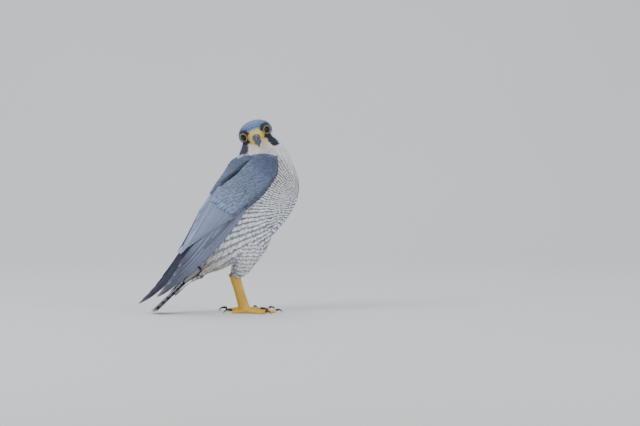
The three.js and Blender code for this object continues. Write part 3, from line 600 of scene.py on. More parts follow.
def spaced(points, spacing):
    """Indices of points that keep their spacing from each other, taken in the order given."""
    kept = []
    for low, high in ((0, 1.2), (1.2, 1.8), (1.8, 2.6), (2.6, 99)):
        members = np.flatnonzero((spacing >= low) & (spacing < high))
        if not len(members):
            continue
        size = spacing[members].max()
        grid = {}
        for i in members.tolist():
            p = points[i]
            x, y, z, r2 = p[0], p[1], p[2], spacing[i] ** 2
            cell = (int(x // size), int(y // size), int(z // size))
            near = (grid.get((cell[0] + a, cell[1] + b, cell[2] + c), ())
                    for a in (-1, 0, 1) for b in (-1, 0, 1) for c in (-1, 0, 1))
            if any((x - q[0]) ** 2 + (y - q[1]) ** 2 + (z - q[2]) ** 2 < r2 for some in near for q in some):
                continue
            grid.setdefault(cell, []).append((x, y, z))
            kept.append(i)
    return np.array(kept)


PATCH = 0.003  # half the width of a small feather's patch in the OFBake map
BARB_PITCH = 0.55
LEAF_ROWS = np.array([0.0, 0.3, 0.62, 0.88, 1.0])
LEAF_BREADTH = np.array([0.45, 0.92, 1.0, 0.66, 0.16])


def patches_at(uv, rows, cols):
    """A patch of the OFBake map at each feather's root."""
    t = np.linspace(0, 1, rows)[None, :, None]
    v = np.linspace(-0.5, 0.5, cols)[None, None, :]
    flat = np.zeros((len(uv), rows, cols, 2))
    flat[..., 0] = uv[:, None, None, 0] + v * PATCH
    flat[..., 1] = uv[:, None, None, 1] + t * PATCH
    return np.clip(flat, 0, 1)


def body_feathers(surface, roots, normals, uv, flow, length, width, lift, look, rng):
    """Small feathers that follow a surface from their roots. Returns them gathered as vanes."""
    n = len(roots)
    flow = unit(flow - normals * (flow * normals).sum(1, keepdims=True))
    spin = rng.normal(0, 0.13, n)[:, None]
    flow = unit(flow + np.cross(normals, flow) * spin)
    centres, ups = [roots], [normals]
    place = roots
    for k in range(1, len(LEAF_ROWS)):
        step = (LEAF_ROWS[k] - LEAF_ROWS[k - 1]) * length
        place = place + flow * step[:, None]
        place, up, _ = surface.nearest(place)
        up = unit(ups[-1] + up)
        flow = unit(flow - up * (flow * up).sum(1, keepdims=True))
        centres.append(place)
        ups.append(up)
    centres, ups = np.stack(centres, 1), np.stack(ups, 1)
    rise = lift[:, None] * (0.12 + 0.88 * LEAF_ROWS ** 1.3) * (0.85 + 0.3 * rng.random((n, 1)))
    centres = centres + ups * rise[..., None]
    tangent = unit(np.gradient(centres, axis=1))
    across = unit(np.cross(ups, tangent))
    half = width[:, None] * LEAF_BREADTH * (0.9 + 0.2 * rng.random((n, len(LEAF_ROWS))))
    v = np.array([-1.0, 0.0, 1.0])
    camber = np.array([-0.08, 0.05, -0.08])
    grid = (centres[:, :, None] + across[:, :, None] * (half[..., None] * v)[..., None]
            + ups[:, :, None] * (half[..., None] * camber)[..., None])
    shift = rng.normal(0, 0.45, (n, 3)) * np.minimum(length / 10, 1)[:, None]
    seen = (grid + shift[:, None, None]).reshape(-1, 3)
    thigh = np.repeat((thigh_share(roots) > 0.5) * 1.0, grid.shape[1] * grid.shape[2])
    tint, strength, phase = plumage(seen, look, thigh)
    shade = (1 + rng.normal(0, 0.035, n))[:, None, None, None]
    mark = np.zeros(grid.shape)
    jitter = rng.normal(0, 0.022, n)[:, None, None]
    mark[..., 0] = phase.reshape(grid.shape[:3]) + jitter
    mark[..., 1] = strength.reshape(grid.shape[:3])
    mark[..., 2] = 0.06
    vane = np.zeros(grid.shape)
    vane[..., 0] = LEAF_ROWS[None, :, None]
    vane[..., 1] = v
    vane[..., 2] = rng.random(n)[:, None, None]
    vanes = Vanes()
    reach = np.broadcast_to(length[:, None, None, None], grid.shape[:3] + (1,))
    vanes.add(grid, vane, mark, tint.reshape(grid.shape) * shade, reach, patches_at(uv, len(LEAF_ROWS), 3))
    return vanes


def wing_feathers(vanes, side, roots, tips, width, tilt, shape, cols, thick, tint, mark, uv, rng, over=None):
    """Feathers laid over the folded wing: roots and tips are rows of (u, phi, lift).

    shape is the cuts along a feather and its breadth at each. over gives the height at u and phi from
    which lift counts.
    """
    cuts, breadth = shape
    n, t = len(roots), cuts[None, :]
    v = np.linspace(-1, 1, cols)
    u = between(roots[:, :1], tips[:, :1], t)
    shell = along(SHELL, u.ravel()).reshape(n, len(cuts), 4)
    radius = (shell[..., 1] + shell[..., 2]) / 2
    half = width[:, None] / 2 * breadth
    phi = between(roots[:, 1:2], tips[:, 1:2], t)
    phi = phi[..., None] + np.degrees(half[..., None] * v / radius[..., None])
    lift = between(roots[:, 2:3], tips[:, 2:3], t)[..., None] + tilt * (v + 1) / 2 * breadth[None, :, None]
    if over is not None:
        lift = lift + over(np.broadcast_to(u[..., None], phi.shape), phi)
    lift = lift + thick * (1 - v ** 2)
    grid = on_shell(side, np.broadcast_to(u[..., None], phi.shape), phi, lift)
    vane = np.zeros(grid.shape)
    vane[..., 0] = t[..., None]
    vane[..., 1] = v
    vane[..., 2] = rng.random(n)[:, None, None]
    length = np.linalg.norm(grid[:, -1, cols // 2] - grid[:, 0, cols // 2], axis=1)
    reach = np.broadcast_to(length[:, None, None, None], grid.shape[:3] + (1,))
    if side < 0:
        grid, vane = grid[:, :, ::-1], vane[:, :, ::-1]
    vanes.add(grid, vane, np.broadcast_to(mark[:, None, None], grid.shape),
              np.broadcast_to(tint[:, None, None], grid.shape), reach, uv)


def strips(first, count, total, rows, cols):
    """Side-by-side strips of the OFBake map, one to each long feather."""
    place = (first + np.arange(count))[:, None, None] / total
    flat = np.zeros((count, rows, cols, 2))
    flat[..., 0] = place + (0.04 + 0.92 * np.linspace(0, 1, cols))[None, None] / total
    flat[..., 1] = np.linspace(0.01, 0.99, rows)[None, :, None]
    return flat


# Materials

def add(tree, kind, inputs=None, **settings):
    """Adds a node with its settings; inputs are values, or sockets to link, by name or number."""
    node = tree.nodes.new(kind)
    for key, value in settings.items():
        setattr(node, key, value)
    for key, value in (inputs or {}).items():
        if isinstance(value, bpy.types.NodeSocket):
            tree.links.new(value, node.inputs[key])
        else:
            node.inputs[key].default_value = value
    return node


def maths(tree, operation, *values):
    return add(tree, "ShaderNodeMath", dict(enumerate(values)), operation=operation).outputs[0]


def step(tree, low, high, value):
    """A smooth step from 0 at low to 1 at high."""
    inputs = {"Value": value, "From Min": low, "From Max": high}
    return add(tree, "ShaderNodeMapRange", inputs, interpolation_type="SMOOTHSTEP").outputs[0]


def mix(tree, share, a, b, blend="MIX"):
    node = add(tree, "ShaderNodeMix", {0: share, 6: a, 7: b}, data_type="RGBA", blend_type=blend)
    return node.outputs[2]


def rgba(colour):
    return (*colour[:3], 1.0)


def new_material(name, roughness, ior=1.5, sheen=0.0, coat=0.0, coat_roughness=0.1, specular=0.5,
                 subsurface=0.0):
    """A node material with the constants of its surface set on the shader, and no colour yet."""
    material = bpy.data.materials.new(name)
    material.use_nodes = True
    shader = material.node_tree.nodes["Principled BSDF"]
    constants = {
        "Roughness": roughness, "IOR": ior, "Specular IOR Level": specular,
        "Sheen Weight": sheen, "Sheen Roughness": 0.5,
        "Coat Weight": coat, "Coat Roughness": coat_roughness,
        "Subsurface Weight": subsurface, "Subsurface Scale": 0.0015,
    }
    for key, value in constants.items():
        shader.inputs[key].default_value = value
    return material, material.node_tree, shader


def layer(tree, key, output):
    """An attribute of the mesh as a socket."""
    return add(tree, "ShaderNodeAttribute", attribute_name=key).outputs[output]


def object_place(tree):
    return add(tree, "ShaderNodeTexCoord").outputs["Object"]


def darker(colour, share):
    return tuple(share * c for c in colour)


def feather_material(name, bar, fringe, shaft, barbs, roughness, bar_width, mottle, specular=0.3,
                     dark_tip=0.0):
    """Feathers: the colour of their place, dark bars across, a shaft, fine barbs and a paler fringe."""
    material, tree, shader = new_material(name, roughness, sheen=0.08, specular=specular)
    t, v, chance = add(tree, "ShaderNodeSeparateXYZ", {0: layer(tree, "vane", "Vector")}).outputs
    phase, strength, edging = add(tree, "ShaderNodeSeparateXYZ", {0: layer(tree, "mark", "Vector")}).outputs
    reach, tint, place = layer(tree, "reach", "Fac"), layer(tree, "tint", "Color"), object_place(tree)
    aside = maths(tree, "ABSOLUTE", v)
    # soft blotches a few millimetres wide, and finer ones within them
    blotch = add(tree, "ShaderNodeTexNoise", {"Vector": place, "Scale": 160.0, "Detail": 3.0}).outputs[0]
    wavy = maths(tree, "MULTIPLY_ADD", blotch, 0.7, maths(tree, "ADD", phase, -0.35))
    # the bars: a wave of the phase, with soft edges
    wave = maths(tree, "SINE", maths(tree, "MULTIPLY", wavy, 2 * math.pi))
    edge = 1 - 2 * bar_width
    band = maths(tree, "MULTIPLY", step(tree, edge - 0.35, edge + 0.45, wave), strength)
    colour = mix(tree, maths(tree, "MULTIPLY", band, 0.92), tint, rgba(bar))
    uneven = maths(tree, "MULTIPLY_ADD", blotch, 2 * mottle, 1 - mottle)
    own = maths(tree, "MULTIPLY_ADD", chance, 0.12, 0.94)
    colour = mix(tree, 1.0, colour, maths(tree, "MULTIPLY", uneven, own), "MULTIPLY")
    # barbs run out from the shaft towards the tip
    slant = maths(tree, "SUBTRACT", maths(tree, "MULTIPLY", t, reach), maths(tree, "MULTIPLY", aside, 3.0))
    barb = maths(tree, "SINE", maths(tree, "MULTIPLY", slant, 2 * math.pi / BARB_PITCH))
    lines = maths(tree, "MULTIPLY_ADD", barb, 0.07 * barbs, 1 - 0.07 * barbs)
    colour = mix(tree, 1.0, colour, lines, "MULTIPLY")
    ridge = step(tree, 0.1, 0.03, aside)
    colour = mix(tree, maths(tree, "MULTIPLY", ridge, shaft), colour, rgba(darker(bar, 0.35)))
    if dark_tip:
        colour = mix(tree, maths(tree, "MULTIPLY", step(tree, 0.5, 1.0, t), dark_tip), colour, rgba(bar))
    # a pale fringe, weaker at the tip, with a dark line just inside it that paints the shade cast between
    # overlapping feathers
    tip_rim = maths(tree, "MULTIPLY", step(tree, 0.93, 0.99, t), 0.45)
    rim = maths(tree, "MAXIMUM", step(tree, 0.84, 0.98, aside), tip_rim)
    inside = maths(tree, "MAXIMUM", step(tree, 0.55, 0.84, aside), step(tree, 0.7, 0.92, t))
    inside = maths(tree, "MULTIPLY", inside, 0.45)
    colour = mix(tree, maths(tree, "MULTIPLY", inside, edging), colour, rgba(darker(bar, 0.6)))
    colour = mix(tree, maths(tree, "MULTIPLY", rim, edging), colour, rgba(fringe))
    tree.links.new(colour, shader.inputs["Base Color"])
    height = maths(tree, "ADD", maths(tree, "MULTIPLY", barb, 0.5), maths(tree, "MULTIPLY", ridge, 2.0))
    bump = add(tree, "ShaderNodeBump", {"Height": height, "Strength": 0.35, "Distance": 0.00006})
    tree.links.new(bump.outputs[0], shader.inputs["Normal"])
    tree.links.new(maths(tree, "MULTIPLY_ADD", blotch, 0.16, roughness - 0.08), shader.inputs["Roughness"])
    return material


def scaled_skin_material(name, colour, dark, scale_mm, roughness=0.42, wrinkle=0.5):
    """Bare waxy skin: small rounded scales with the creases between them painted darker as shade."""
    material, tree, shader = new_material(
        name, roughness, ior=1.45, coat=0.15, coat_roughness=0.35, subsurface=0.12)
    shader.inputs["Subsurface Radius"].default_value = (1.0, 0.6, 0.25)
    place = object_place(tree)
    inputs = {"Vector": place, "Scale": 1 / (scale_mm * MM)}
    scales = add(tree, "ShaderNodeTexVoronoi", inputs, feature="DISTANCE_TO_EDGE").outputs[0]
    patchy = add(tree, "ShaderNodeTexNoise", {"Vector": place, "Scale": 90.0, "Detail": 4.0}).outputs[0]
    # the creases between the scales are painted shade
    crease = step(tree, 0.10, 0.0, scales)
    tone = mix(tree, step(tree, 0.35, 0.75, patchy), rgba(colour), rgba(darker(colour, 0.78)))
    tone = mix(tree, maths(tree, "MULTIPLY", crease, wrinkle), tone, rgba(dark))
    tree.links.new(tone, shader.inputs["Base Color"])
    raised = step(tree, 0.0, 0.22, scales)
    bump = add(tree, "ShaderNodeBump", {"Height": raised, "Strength": 0.6, "Distance": 0.00018})
    tree.links.new(bump.outputs[0], shader.inputs["Normal"])
    tree.links.new(maths(tree, "MULTIPLY_ADD", patchy, 0.2, roughness - 0.1), shader.inputs["Roughness"])
    return material


def horn_material(name, root, tip, start, end, axis, roughness=0.28):
    """Horn: a growth-streaked colour that darkens from root to tip, under a low gloss."""
    material, tree, shader = new_material(
        name, roughness, ior=1.55, coat=0.35, coat_roughness=0.18, subsurface=0.04)
    place = object_place(tree)
    shifted = add(tree, "ShaderNodeVectorMath", {0: place, 1: tuple(start * MM)}, operation="SUBTRACT")
    inputs = {0: shifted.outputs[0], 1: tuple(axis)}
    far = add(tree, "ShaderNodeVectorMath", inputs, operation="DOT_PRODUCT").outputs["Value"]
    share = maths(tree, "MULTIPLY", far, 1 / (end * MM))
    inputs = {"Vector": place, "Scale": 420.0, "Detail": 5.0, "Distortion": 0.4}
    streak = add(tree, "ShaderNodeTexNoise", inputs).outputs[0]
    uneven = maths(tree, "ADD", share, maths(tree, "MULTIPLY_ADD", streak, 0.3, -0.15))
    blend = step(tree, 0.2, 0.85, uneven)
    colour = mix(tree, blend, rgba(root), rgba(tip))
    colour = mix(tree, 1.0, colour, maths(tree, "MULTIPLY_ADD", streak, 0.3, 0.85), "MULTIPLY")
    tree.links.new(colour, shader.inputs["Base Color"])
    bump = add(tree, "ShaderNodeBump", {"Height": streak, "Strength": 0.25, "Distance": 0.00008})
    tree.links.new(bump.outputs[0], shader.inputs["Normal"])
    tree.links.new(maths(tree, "MULTIPLY_ADD", streak, 0.16, roughness - 0.08), shader.inputs["Roughness"])
    return material


def eye_material(name, look):
    """A very dark brown eye under a clear wet surface; the round pupil is all but black."""
    material, tree, shader = new_material(name, 0.3, ior=1.34, coat=0.55, coat_roughness=0.01, specular=0.05)
    off = layer(tree, "off_axis", "Fac")
    inputs = {"Vector": object_place(tree), "Scale": 900.0, "Detail": 4.0}
    fibres = add(tree, "ShaderNodeTexNoise", inputs).outputs[0]
    iris = mix(tree, step(tree, 0.35, 0.7, fibres), rgba(look.iris), rgba(darker(look.iris, 0.45)))
    colour = mix(tree, step(tree, 27.0, 25.0, off), iris, rgba(look.pupil))
    colour = mix(tree, step(tree, 46.0, 52.0, off), colour, rgba(darker(look.pupil, 0.5)))
    tree.links.new(colour, shader.inputs["Base Color"])
    return material


def stage_material(name, colour):
    """Matt pale paint with a faint unevenness."""
    material, tree, shader = new_material(name, 0.85, specular=0.2)
    inputs = {"Vector": object_place(tree), "Scale": 3.0, "Detail": 4.0}
    cloud = add(tree, "ShaderNodeTexNoise", inputs).outputs[0]
    tone = mix(tree, cloud, rgba(darker(colour, 0.97)), rgba(colour))
    tree.links.new(tone, shader.inputs["Base Color"])
    return material


# Choices that the panel shows

def tone(name, description, code):
    return bpy.props.FloatVectorProperty(
        name=name, description=description, subtype="COLOR", size=3, min=0, max=1, default=srgb(code))


def size(name, description, millimetres):
    return bpy.props.FloatProperty(
        name=name, description=description, subtype="DISTANCE", unit="LENGTH", min=0,
        default=millimetres * MM)


class FalconColours(bpy.types.PropertyGroup):
    """Colours of the plumage and the bare parts, as sRGB codes made linear."""

    slate: tone("Slate", "Mantle and rump", "#76839f")
    # on the crown this light slate is a painted highlight
    slate_light: tone("Light slate", "Tertials, secondaries and the crown's light parts", "#abbbe2")
    slate_dark: tone("Dark slate", "Shoulder and the wing's front and lower edge", "#3f4a64")
    hood: tone("Hood", "Crown and ear patch", "#4f6692")
    moustache: tone("Moustache", "Stripe below the eye", "#1d222f")
    white: tone("White", "Cheek, neck side and upper breast", "#eef1f6")
    throat: tone("Throat", "Chin and throat", "#fff0d8")
    forehead: tone("Forehead", "Feathers above the cere", "#cfc2a6")
    lore_yellow: tone("Lores", "Feathers and skin before the eyes", "#f7d466")
    belly: tone("Belly", "Ground colour of the barred underparts", "#f4f6fc")
    breast_warm: tone("Warm breast", "Faint wash on the lower breast", "#e6dccf")
    undertail: tone("Undertail", "Ground colour of the undertail coverts", "#cfc9bd")
    bar: tone("Bars", "Dark bars of the underparts", "#4a5066")
    flight: tone("Primaries", "Flight feathers of the wing's tip", "#868dac")
    flight_dark: tone("Primary tips", "Tips of the primaries", "#25242b")
    tail: tone("Tail", "Tail feathers between their dark bars", "#8b93a8")
    fringe: tone("Fringe", "Pale edges of the wing's feathers", "#c9d1e4")
    cere: tone("Cere", "Waxy skin over the bill and the gape", "#efc83f")
    ring: tone("Orbital ring", "Bare lids round the eye", "#a18a48")
    # this colour is painted shade in the creases of the bare skin
    feet: tone("Feet", "Tarsus and toes", "#e3b338")
    crease: tone("Creases", "Between the feet's scales", "#8a6420")
    bill_root: tone("Bill base", "Pale blue horn next to the cere", "#86aef5")
    bill_tip: tone("Bill tip", "Dark hook", "#161c2b")
    claw: tone("Claws", "Black horn", "#1b1b1f")
    iris: tone("Iris", "Very dark brown", "#1c110a")
    pupil: tone("Pupil", "All but black", "#050505")
    stage: tone("Stage", "Floor and backdrop", "#dcdcda")


class FalconSizes(bpy.types.PropertyGroup):
    """Sizes of the coat and of the skin below it."""

    voxel: size("Skin cell", "Size of the skin's faces", 1.25)
    face_feather: size("Face feather", "Length of the smallest feathers, at the bill", 2.4)
    crown_feather: size("Crown feather", "Length of the crown's feathers", 6.5)
    breast_feather: size("Breast feather", "Length of the breast's feathers", 13)
    flank_feather: size("Flank feather", "Length of the flank's feathers", 19)
    thigh_feather: size("Thigh feather", "Length of the thigh's feathers", 16)
    covert_small: size("Lesser covert", "Length of the coverts at the wing's bend", 10)
    covert_large: size("Greater covert", "Length of the coverts over the flight feathers", 33)
    head_depth: size("Head coat", "Depth of the coat on the head", 0.9)
    body_depth: size("Body coat", "Depth of the coat on the body", 2.0)
    aim_right: size("Aim right", "How far right of the bird the camera looks", 124.8)
    aim_up: size("Aim up", "Height at which the camera looks", 153.8)
    distance: size("Camera distance", "From the camera to the bird", 5510)


def look():
    return bpy.context.scene.falcon_colours


def sized(name):
    """One of the panel's sizes, in millimetres."""
    return getattr(bpy.context.scene.falcon_sizes, name) / MM


def material(name, make):
    """A material that several pieces share, made once."""
    return bpy.data.materials.get(name) or make()


def contour_material():
    # small soft feathers: white or slate, matt, with dark bars on the underparts
    return material("contour_feathers", lambda: feather_material(
        "contour_feathers", look().bar, look().white, shaft=0.03, barbs=0.35, roughness=0.85,
        bar_width=0.38, mottle=0.08))


def covert_material():
    # firm slate feathers with a dark shaft and a thin pale edge
    return material("slate_feathers", lambda: feather_material(
        "slate_feathers", look().slate_dark, look().fringe, shaft=0.35, barbs=0.5, roughness=0.68,
        bar_width=0.35, mottle=0.16))


def flight_material():
    # long stiff blue-grey feathers with a darker shaft and tip and a satin face
    return material("flight_feathers", lambda: feather_material(
        "flight_feathers", look().flight_dark, look().fringe, shaft=0.6, barbs=0.6, roughness=0.58,
        bar_width=0.36, mottle=0.14, specular=0.4, dark_tip=0.75))


def tail_material():
    # tail feathers: slate with blackish bars
    return material("tail_feathers", lambda: feather_material(
        "tail_feathers", look().flight_dark, look().white, shaft=0.5, barbs=0.5, roughness=0.62,
        bar_width=0.45, mottle=0.12, specular=0.4))


# The skin and the feathers on it

FLESH = ("head", "neck", "torso", "thigh_left", "thigh_right", "undertail_coverts")


def tail_share(points):
    """1 under the tail, 0 on the trunk: where feathers lie along the tail."""
    q = (points - TAIL_ROOT) @ TAIL_AXES
    return smooth(-14, 6, q[:, 0])


def coat_at(points):
    """Length of the feathers at points of the skin, and how far apart they grow."""
    station, _, _ = trunk_place(points)
    d = np.linalg.norm(in_head(points) - np.array([27, 0, -3]), axis=1)
    on_head = smooth(-3, 2, past_neck(points))
    head = between(sized("face_feather"), sized("crown_feather"), smooth(3, 46, d))
    body = between(sized("flank_feather"), sized("breast_feather"), smooth(3.2, 5.4, station))
    body = between(body, 9.5, smooth(5.6, 7.2, station))
    low = np.clip((points[:, 2] - ANKLE[2]) / 60, 0, 1)
    body = between(body, between(11, sized("thigh_feather"), low), thigh_share(points))
    body = between(body, 14, tail_share(points))
    off_eye, eye_distance = from_eye(in_head(points))
    head = head * between(1, between(0.5, 1, smooth(50, 84, off_eye)), smooth(20, 14, eye_distance))
    length = between(body, head, on_head)
    spacing = length * between(0.17, 0.215, smooth(4, 12, length)) + 0.22
    return length, spacing


def covered(points):
    """Skin that lies well under the folded wings or the mantle, where no feather would show."""
    u, y, h = to_body(points)
    mid, w, d, v = along(SHELL, u).T
    rise = h - mid
    phi = np.degrees(np.arctan2(np.abs(y) / w, rise / np.where(rise > 0, d, v)))
    top, low = wing_span(np.clip(u, ARM_REAR, ARM_FRONT))
    quill = along(QUILLS, u)
    arm = (u > ARM_REAR - 2) & (u < ARM_FRONT - 6) & (phi > top + 4) & (phi < low - 9)
    bundle = (u <= ARM_REAR) & (u > -150) & (phi > quill[:, 2] + 8) & (phi < quill[:, 1] - 9)
    mantle = (u > ARM_REAR + 4) & (u < 52) & (phi < top)
    return arm | bundle | mantle


def flow_at(points):
    """The way feathers lie: back from the bill, down the neck, over the flanks to thighs and tail."""
    station, angle, turn = trunk_place(points)
    side = np.sign(points[:, 1]) * smooth(0, 12, np.abs(points[:, 1]))
    tilt = turn + BODY_TILT
    tailwards = -np.column_stack([np.cos(tilt), 0 * tilt, np.sin(tilt)])
    x, z, distance, frontal = fan(points, angle)
    far = np.maximum(distance, 1)
    spokes = np.column_stack([-z / far, 0.35 * side * smooth(-10, 40, z), -x / far])
    down = np.column_stack([0 * side, 0.12 * side, -np.ones(len(side))])
    under = unit(between(spokes, down, frontal[:, None]))
    belly = smooth(62, 96, np.abs(angle)) * smooth(6.6, 5.4, station)
    flow = between(tailwards, under, belly[:, None])
    vent = smooth(1.8, 0.6, station)[:, None]
    flow = between(flow, unit(tailwards + np.array([0, 0, -0.25])), vent)
    thigh = thigh_share(points)[:, None]
    flow = between(flow, np.array([-0.16, 0, -1.0]), thigh)
    flow = between(flow, TAIL_AXES[:, 0], tail_share(points)[:, None])
    q = in_head(points)
    radial = unit(q - np.array([30, 0, -3])) @ HEAD_AXES.T
    on_head = smooth(-24, 10, past_neck(points))[:, None]
    return unit(between(flow, radial, on_head))


def build_skin():
    mesh = refined(FLESH, "skin", sized("voxel"), 7, swell=0.55)
    points, normals = coordinates(mesh), coordinates(mesh, "normal")
    depth = between(sized("body_depth"), sized("head_depth"), smooth(-6, 3, past_neck(points))) + 0.5
    points = points - normals * depth[:, None]
    set_coordinates(mesh, points)
    soften(mesh, np.abs(past_neck(points)) < 9, 30)
    points = coordinates(mesh)
    unwrapped(mesh)
    tint, strength, phase = plumage(points, look(), (thigh_share(points) > 0.5) * 1.0)
    mark = np.column_stack([phase, strength, 0 * phase])
    flat = np.full((len(points), 3), 0.5)
    # the skin takes the plumage's colours a tenth darker: painted shade under the feathers
    for key, value in (("tint", tint * 0.9), ("mark", mark), ("vane", flat), ("reach", 0 * phase)):
        write_layer(mesh, key, value)
    return mesh


def grow_coat(skin, parts):
    """Feathers over the skin, as one piece for each part that a test on their roots picks out."""
    surface = Surface(skin)
    rng = np.random.default_rng(11)
    centre = surface.points[surface.tris].mean(1)
    _, spacing = coat_at(centre)
    weight = 1 / spacing ** 2
    roots, normals, uv = surface.sample(weight, 170000, rng)
    length, spacing = coat_at(roots)
    q = in_head(roots)
    off_eye, eye_distance = from_eye(q)
    at_bill = (q[:, 0] > 23.4) & (np.abs(q[:, 1]) < 14) & (q[:, 2] > -14.5) & (past_neck(roots) > 0)
    bare = ((off_eye < 50) & (eye_distance < 14)) | at_bill
    keep = np.flatnonzero(~covered(roots) & ~bare & (roots[:, 2] > ANKLE[2] + 1))
    roots, normals, uv, length, spacing = (a[keep] for a in (roots, normals, uv, length, spacing))
    kept = spaced(roots, spacing)
    roots, normals, uv, length = (a[kept] for a in (roots, normals, uv, length))
    length = length * rng.uniform(0.85, 1.15, len(length))
    flow = flow_at(roots)
    width = length * between(0.21, 0.24, smooth(6, 14, length))
    lift = between(0.22 + 0.05 * length, 0.2 + 0.03 * length, smooth(8, 14, length))
    for name, slot_name, test in parts:
        chosen = np.flatnonzero(test(roots))
        if not len(chosen):
            raise RuntimeError(f"no feathers grew for {name}")
        own = (a[chosen] for a in (roots, normals, uv, flow, length, width, lift))
        vanes = body_feathers(surface, *own, look(), rng)
        piece(name, vanes.mesh(name), contour_material())


def on_head_part(points):
    return past_neck(points) > -1


def face_part(points):
    return on_head_part(points) & (in_head(points)[:, 0] > 3)


def crown_part(points):
    return on_head_part(points) & ~face_part(points)


def thigh_part(points):
    return ~on_head_part(points) & (thigh_share(points) > 0.5)


def tail_part(points):
    return ~on_head_part(points) & ~thigh_part(points) & (tail_share(points) > 0.3)


def upper_part(points):
    station, _, _ = trunk_place(points)
    return ~on_head_part(points) & ~thigh_part(points) & ~tail_part(points) & (station > 4.6)


def lower_part(points):
    return ~(on_head_part(points) | thigh_part(points) | tail_part(points) | upper_part(points))


# Wings

def slab_mesh(name, grid_top, grid_low, tint):
    """A closed slab between two grids of points, coloured evenly, for what lies under the feathers; its
    darkened colour is painted shade.
    """
    rows, cols = grid_top.shape[:2]
    ids = np.arange(rows * cols).reshape(rows, cols)
    a, b, c, d = ids[:-1, :-1], ids[1:, :-1], ids[1:, 1:], ids[:-1, 1:]
    top = np.stack([a, b, c, d], -1).reshape(-1, 4)
    below = np.stack([a, d, c, b], -1).reshape(-1, 4) + rows * cols
    rim = np.concatenate([ids[0, :], ids[1:, -1], ids[-1, -2::-1], ids[-2:0:-1, 0]])
    nxt = np.roll(rim, -1)
    wall = np.stack([rim, nxt, nxt + rows * cols, rim + rows * cols], -1)
    faces = np.concatenate([top, below, wall])
    points = np.concatenate([grid_top.reshape(-1, 3), grid_low.reshape(-1, 3)])
    n = len(points)
    i, j = np.meshgrid(np.linspace(0.02, 0.98, rows), np.linspace(0.02, 0.48, cols), indexing="ij")
    uv = np.concatenate([np.column_stack([i.ravel(), j.ravel() + half]) for half in (0, 0.5)])
    layers = {"tint": np.repeat(np.array(tint)[None], n, 0), "mark": np.zeros((n, 3)),
              "vane": np.full((n, 3), 0.5), "reach": np.zeros(n)}
    return mesh_from(name, points, faces.ravel(), np.full(len(faces), 4), layers, uv)


def quill(u, column):
    return along(QUILLS, u)[:, column].reshape(np.shape(u))


def shell_slab(name, side, u0, u1, rows, cols, top, low, upper, lower, tint):
    """A stretch of the wing's shell as a slab; the functions give phi at u and the two faces' heights."""
    i, j = np.meshgrid(np.linspace(0, 1, rows), np.linspace(0, 1, cols), indexing="ij")
    u = between(u0, u1, i)
    phi = between(top(u), low(u), j)
    faces = [on_shell(side, u, phi, f(i, j, u, phi)) for f in (upper, lower)]
    if side * (u1 - u0) < 0:
        faces = [f[:, ::-1] for f in faces]
    return slab_mesh(name, faces[0], faces[1], tint)


LONG_CUTS = np.array([0, 0.12, 0.28, 0.45, 0.6, 0.73, 0.83, 0.9, 0.95, 0.985, 1.0])
ROUND_TIP = np.array([0.75, 0.9, 1, 1, 1, 0.99, 0.95, 0.86, 0.7, 0.42, 0.14])
POINTED_TIP = np.array([0.85, 1, 1, 0.98, 0.93, 0.85, 0.74, 0.61, 0.47, 0.3, 0.1])
COVERT_CUTS = np.array([0, 0.3, 0.58, 0.8, 0.93, 1.0])
COVERT_BREADTH = np.array([0.6, 0.95, 1.0, 0.86, 0.55, 0.16])
ROUND_FEATHER, POINTED_FEATHER = (LONG_CUTS, ROUND_TIP), (LONG_CUTS, POINTED_TIP)
COVERT = (COVERT_CUTS, COVERT_BREADTH)


def wing_tone(u, share, rng):
    """Colour of a wing's covert by its place: share runs from the wing's upper to its lower edge."""
    n = len(u)
    light = smooth(60, 5, u) * 0.55
    dark = np.maximum(smooth(66, 104, u) * 0.75, smooth(0.74, 1.0, share) * 0.85)
    colour = mixed([look().slate, look().slate_light, look().slate_dark], [1, light, dark])
    return colour * (1 + rng.normal(0, 0.06, n))[:, None]


def marks(count, phase, strength, fringe):
    """The same bar phase, strength of the bars and strength of the fringe for some feathers."""
    return np.repeat(np.array([[phase, strength, fringe]], float), count, 0)


def span_at(u):
    top, low = wing_span(np.clip(u, -6, ARM_FRONT))
    return top.reshape(np.shape(u)), low.reshape(np.shape(u))


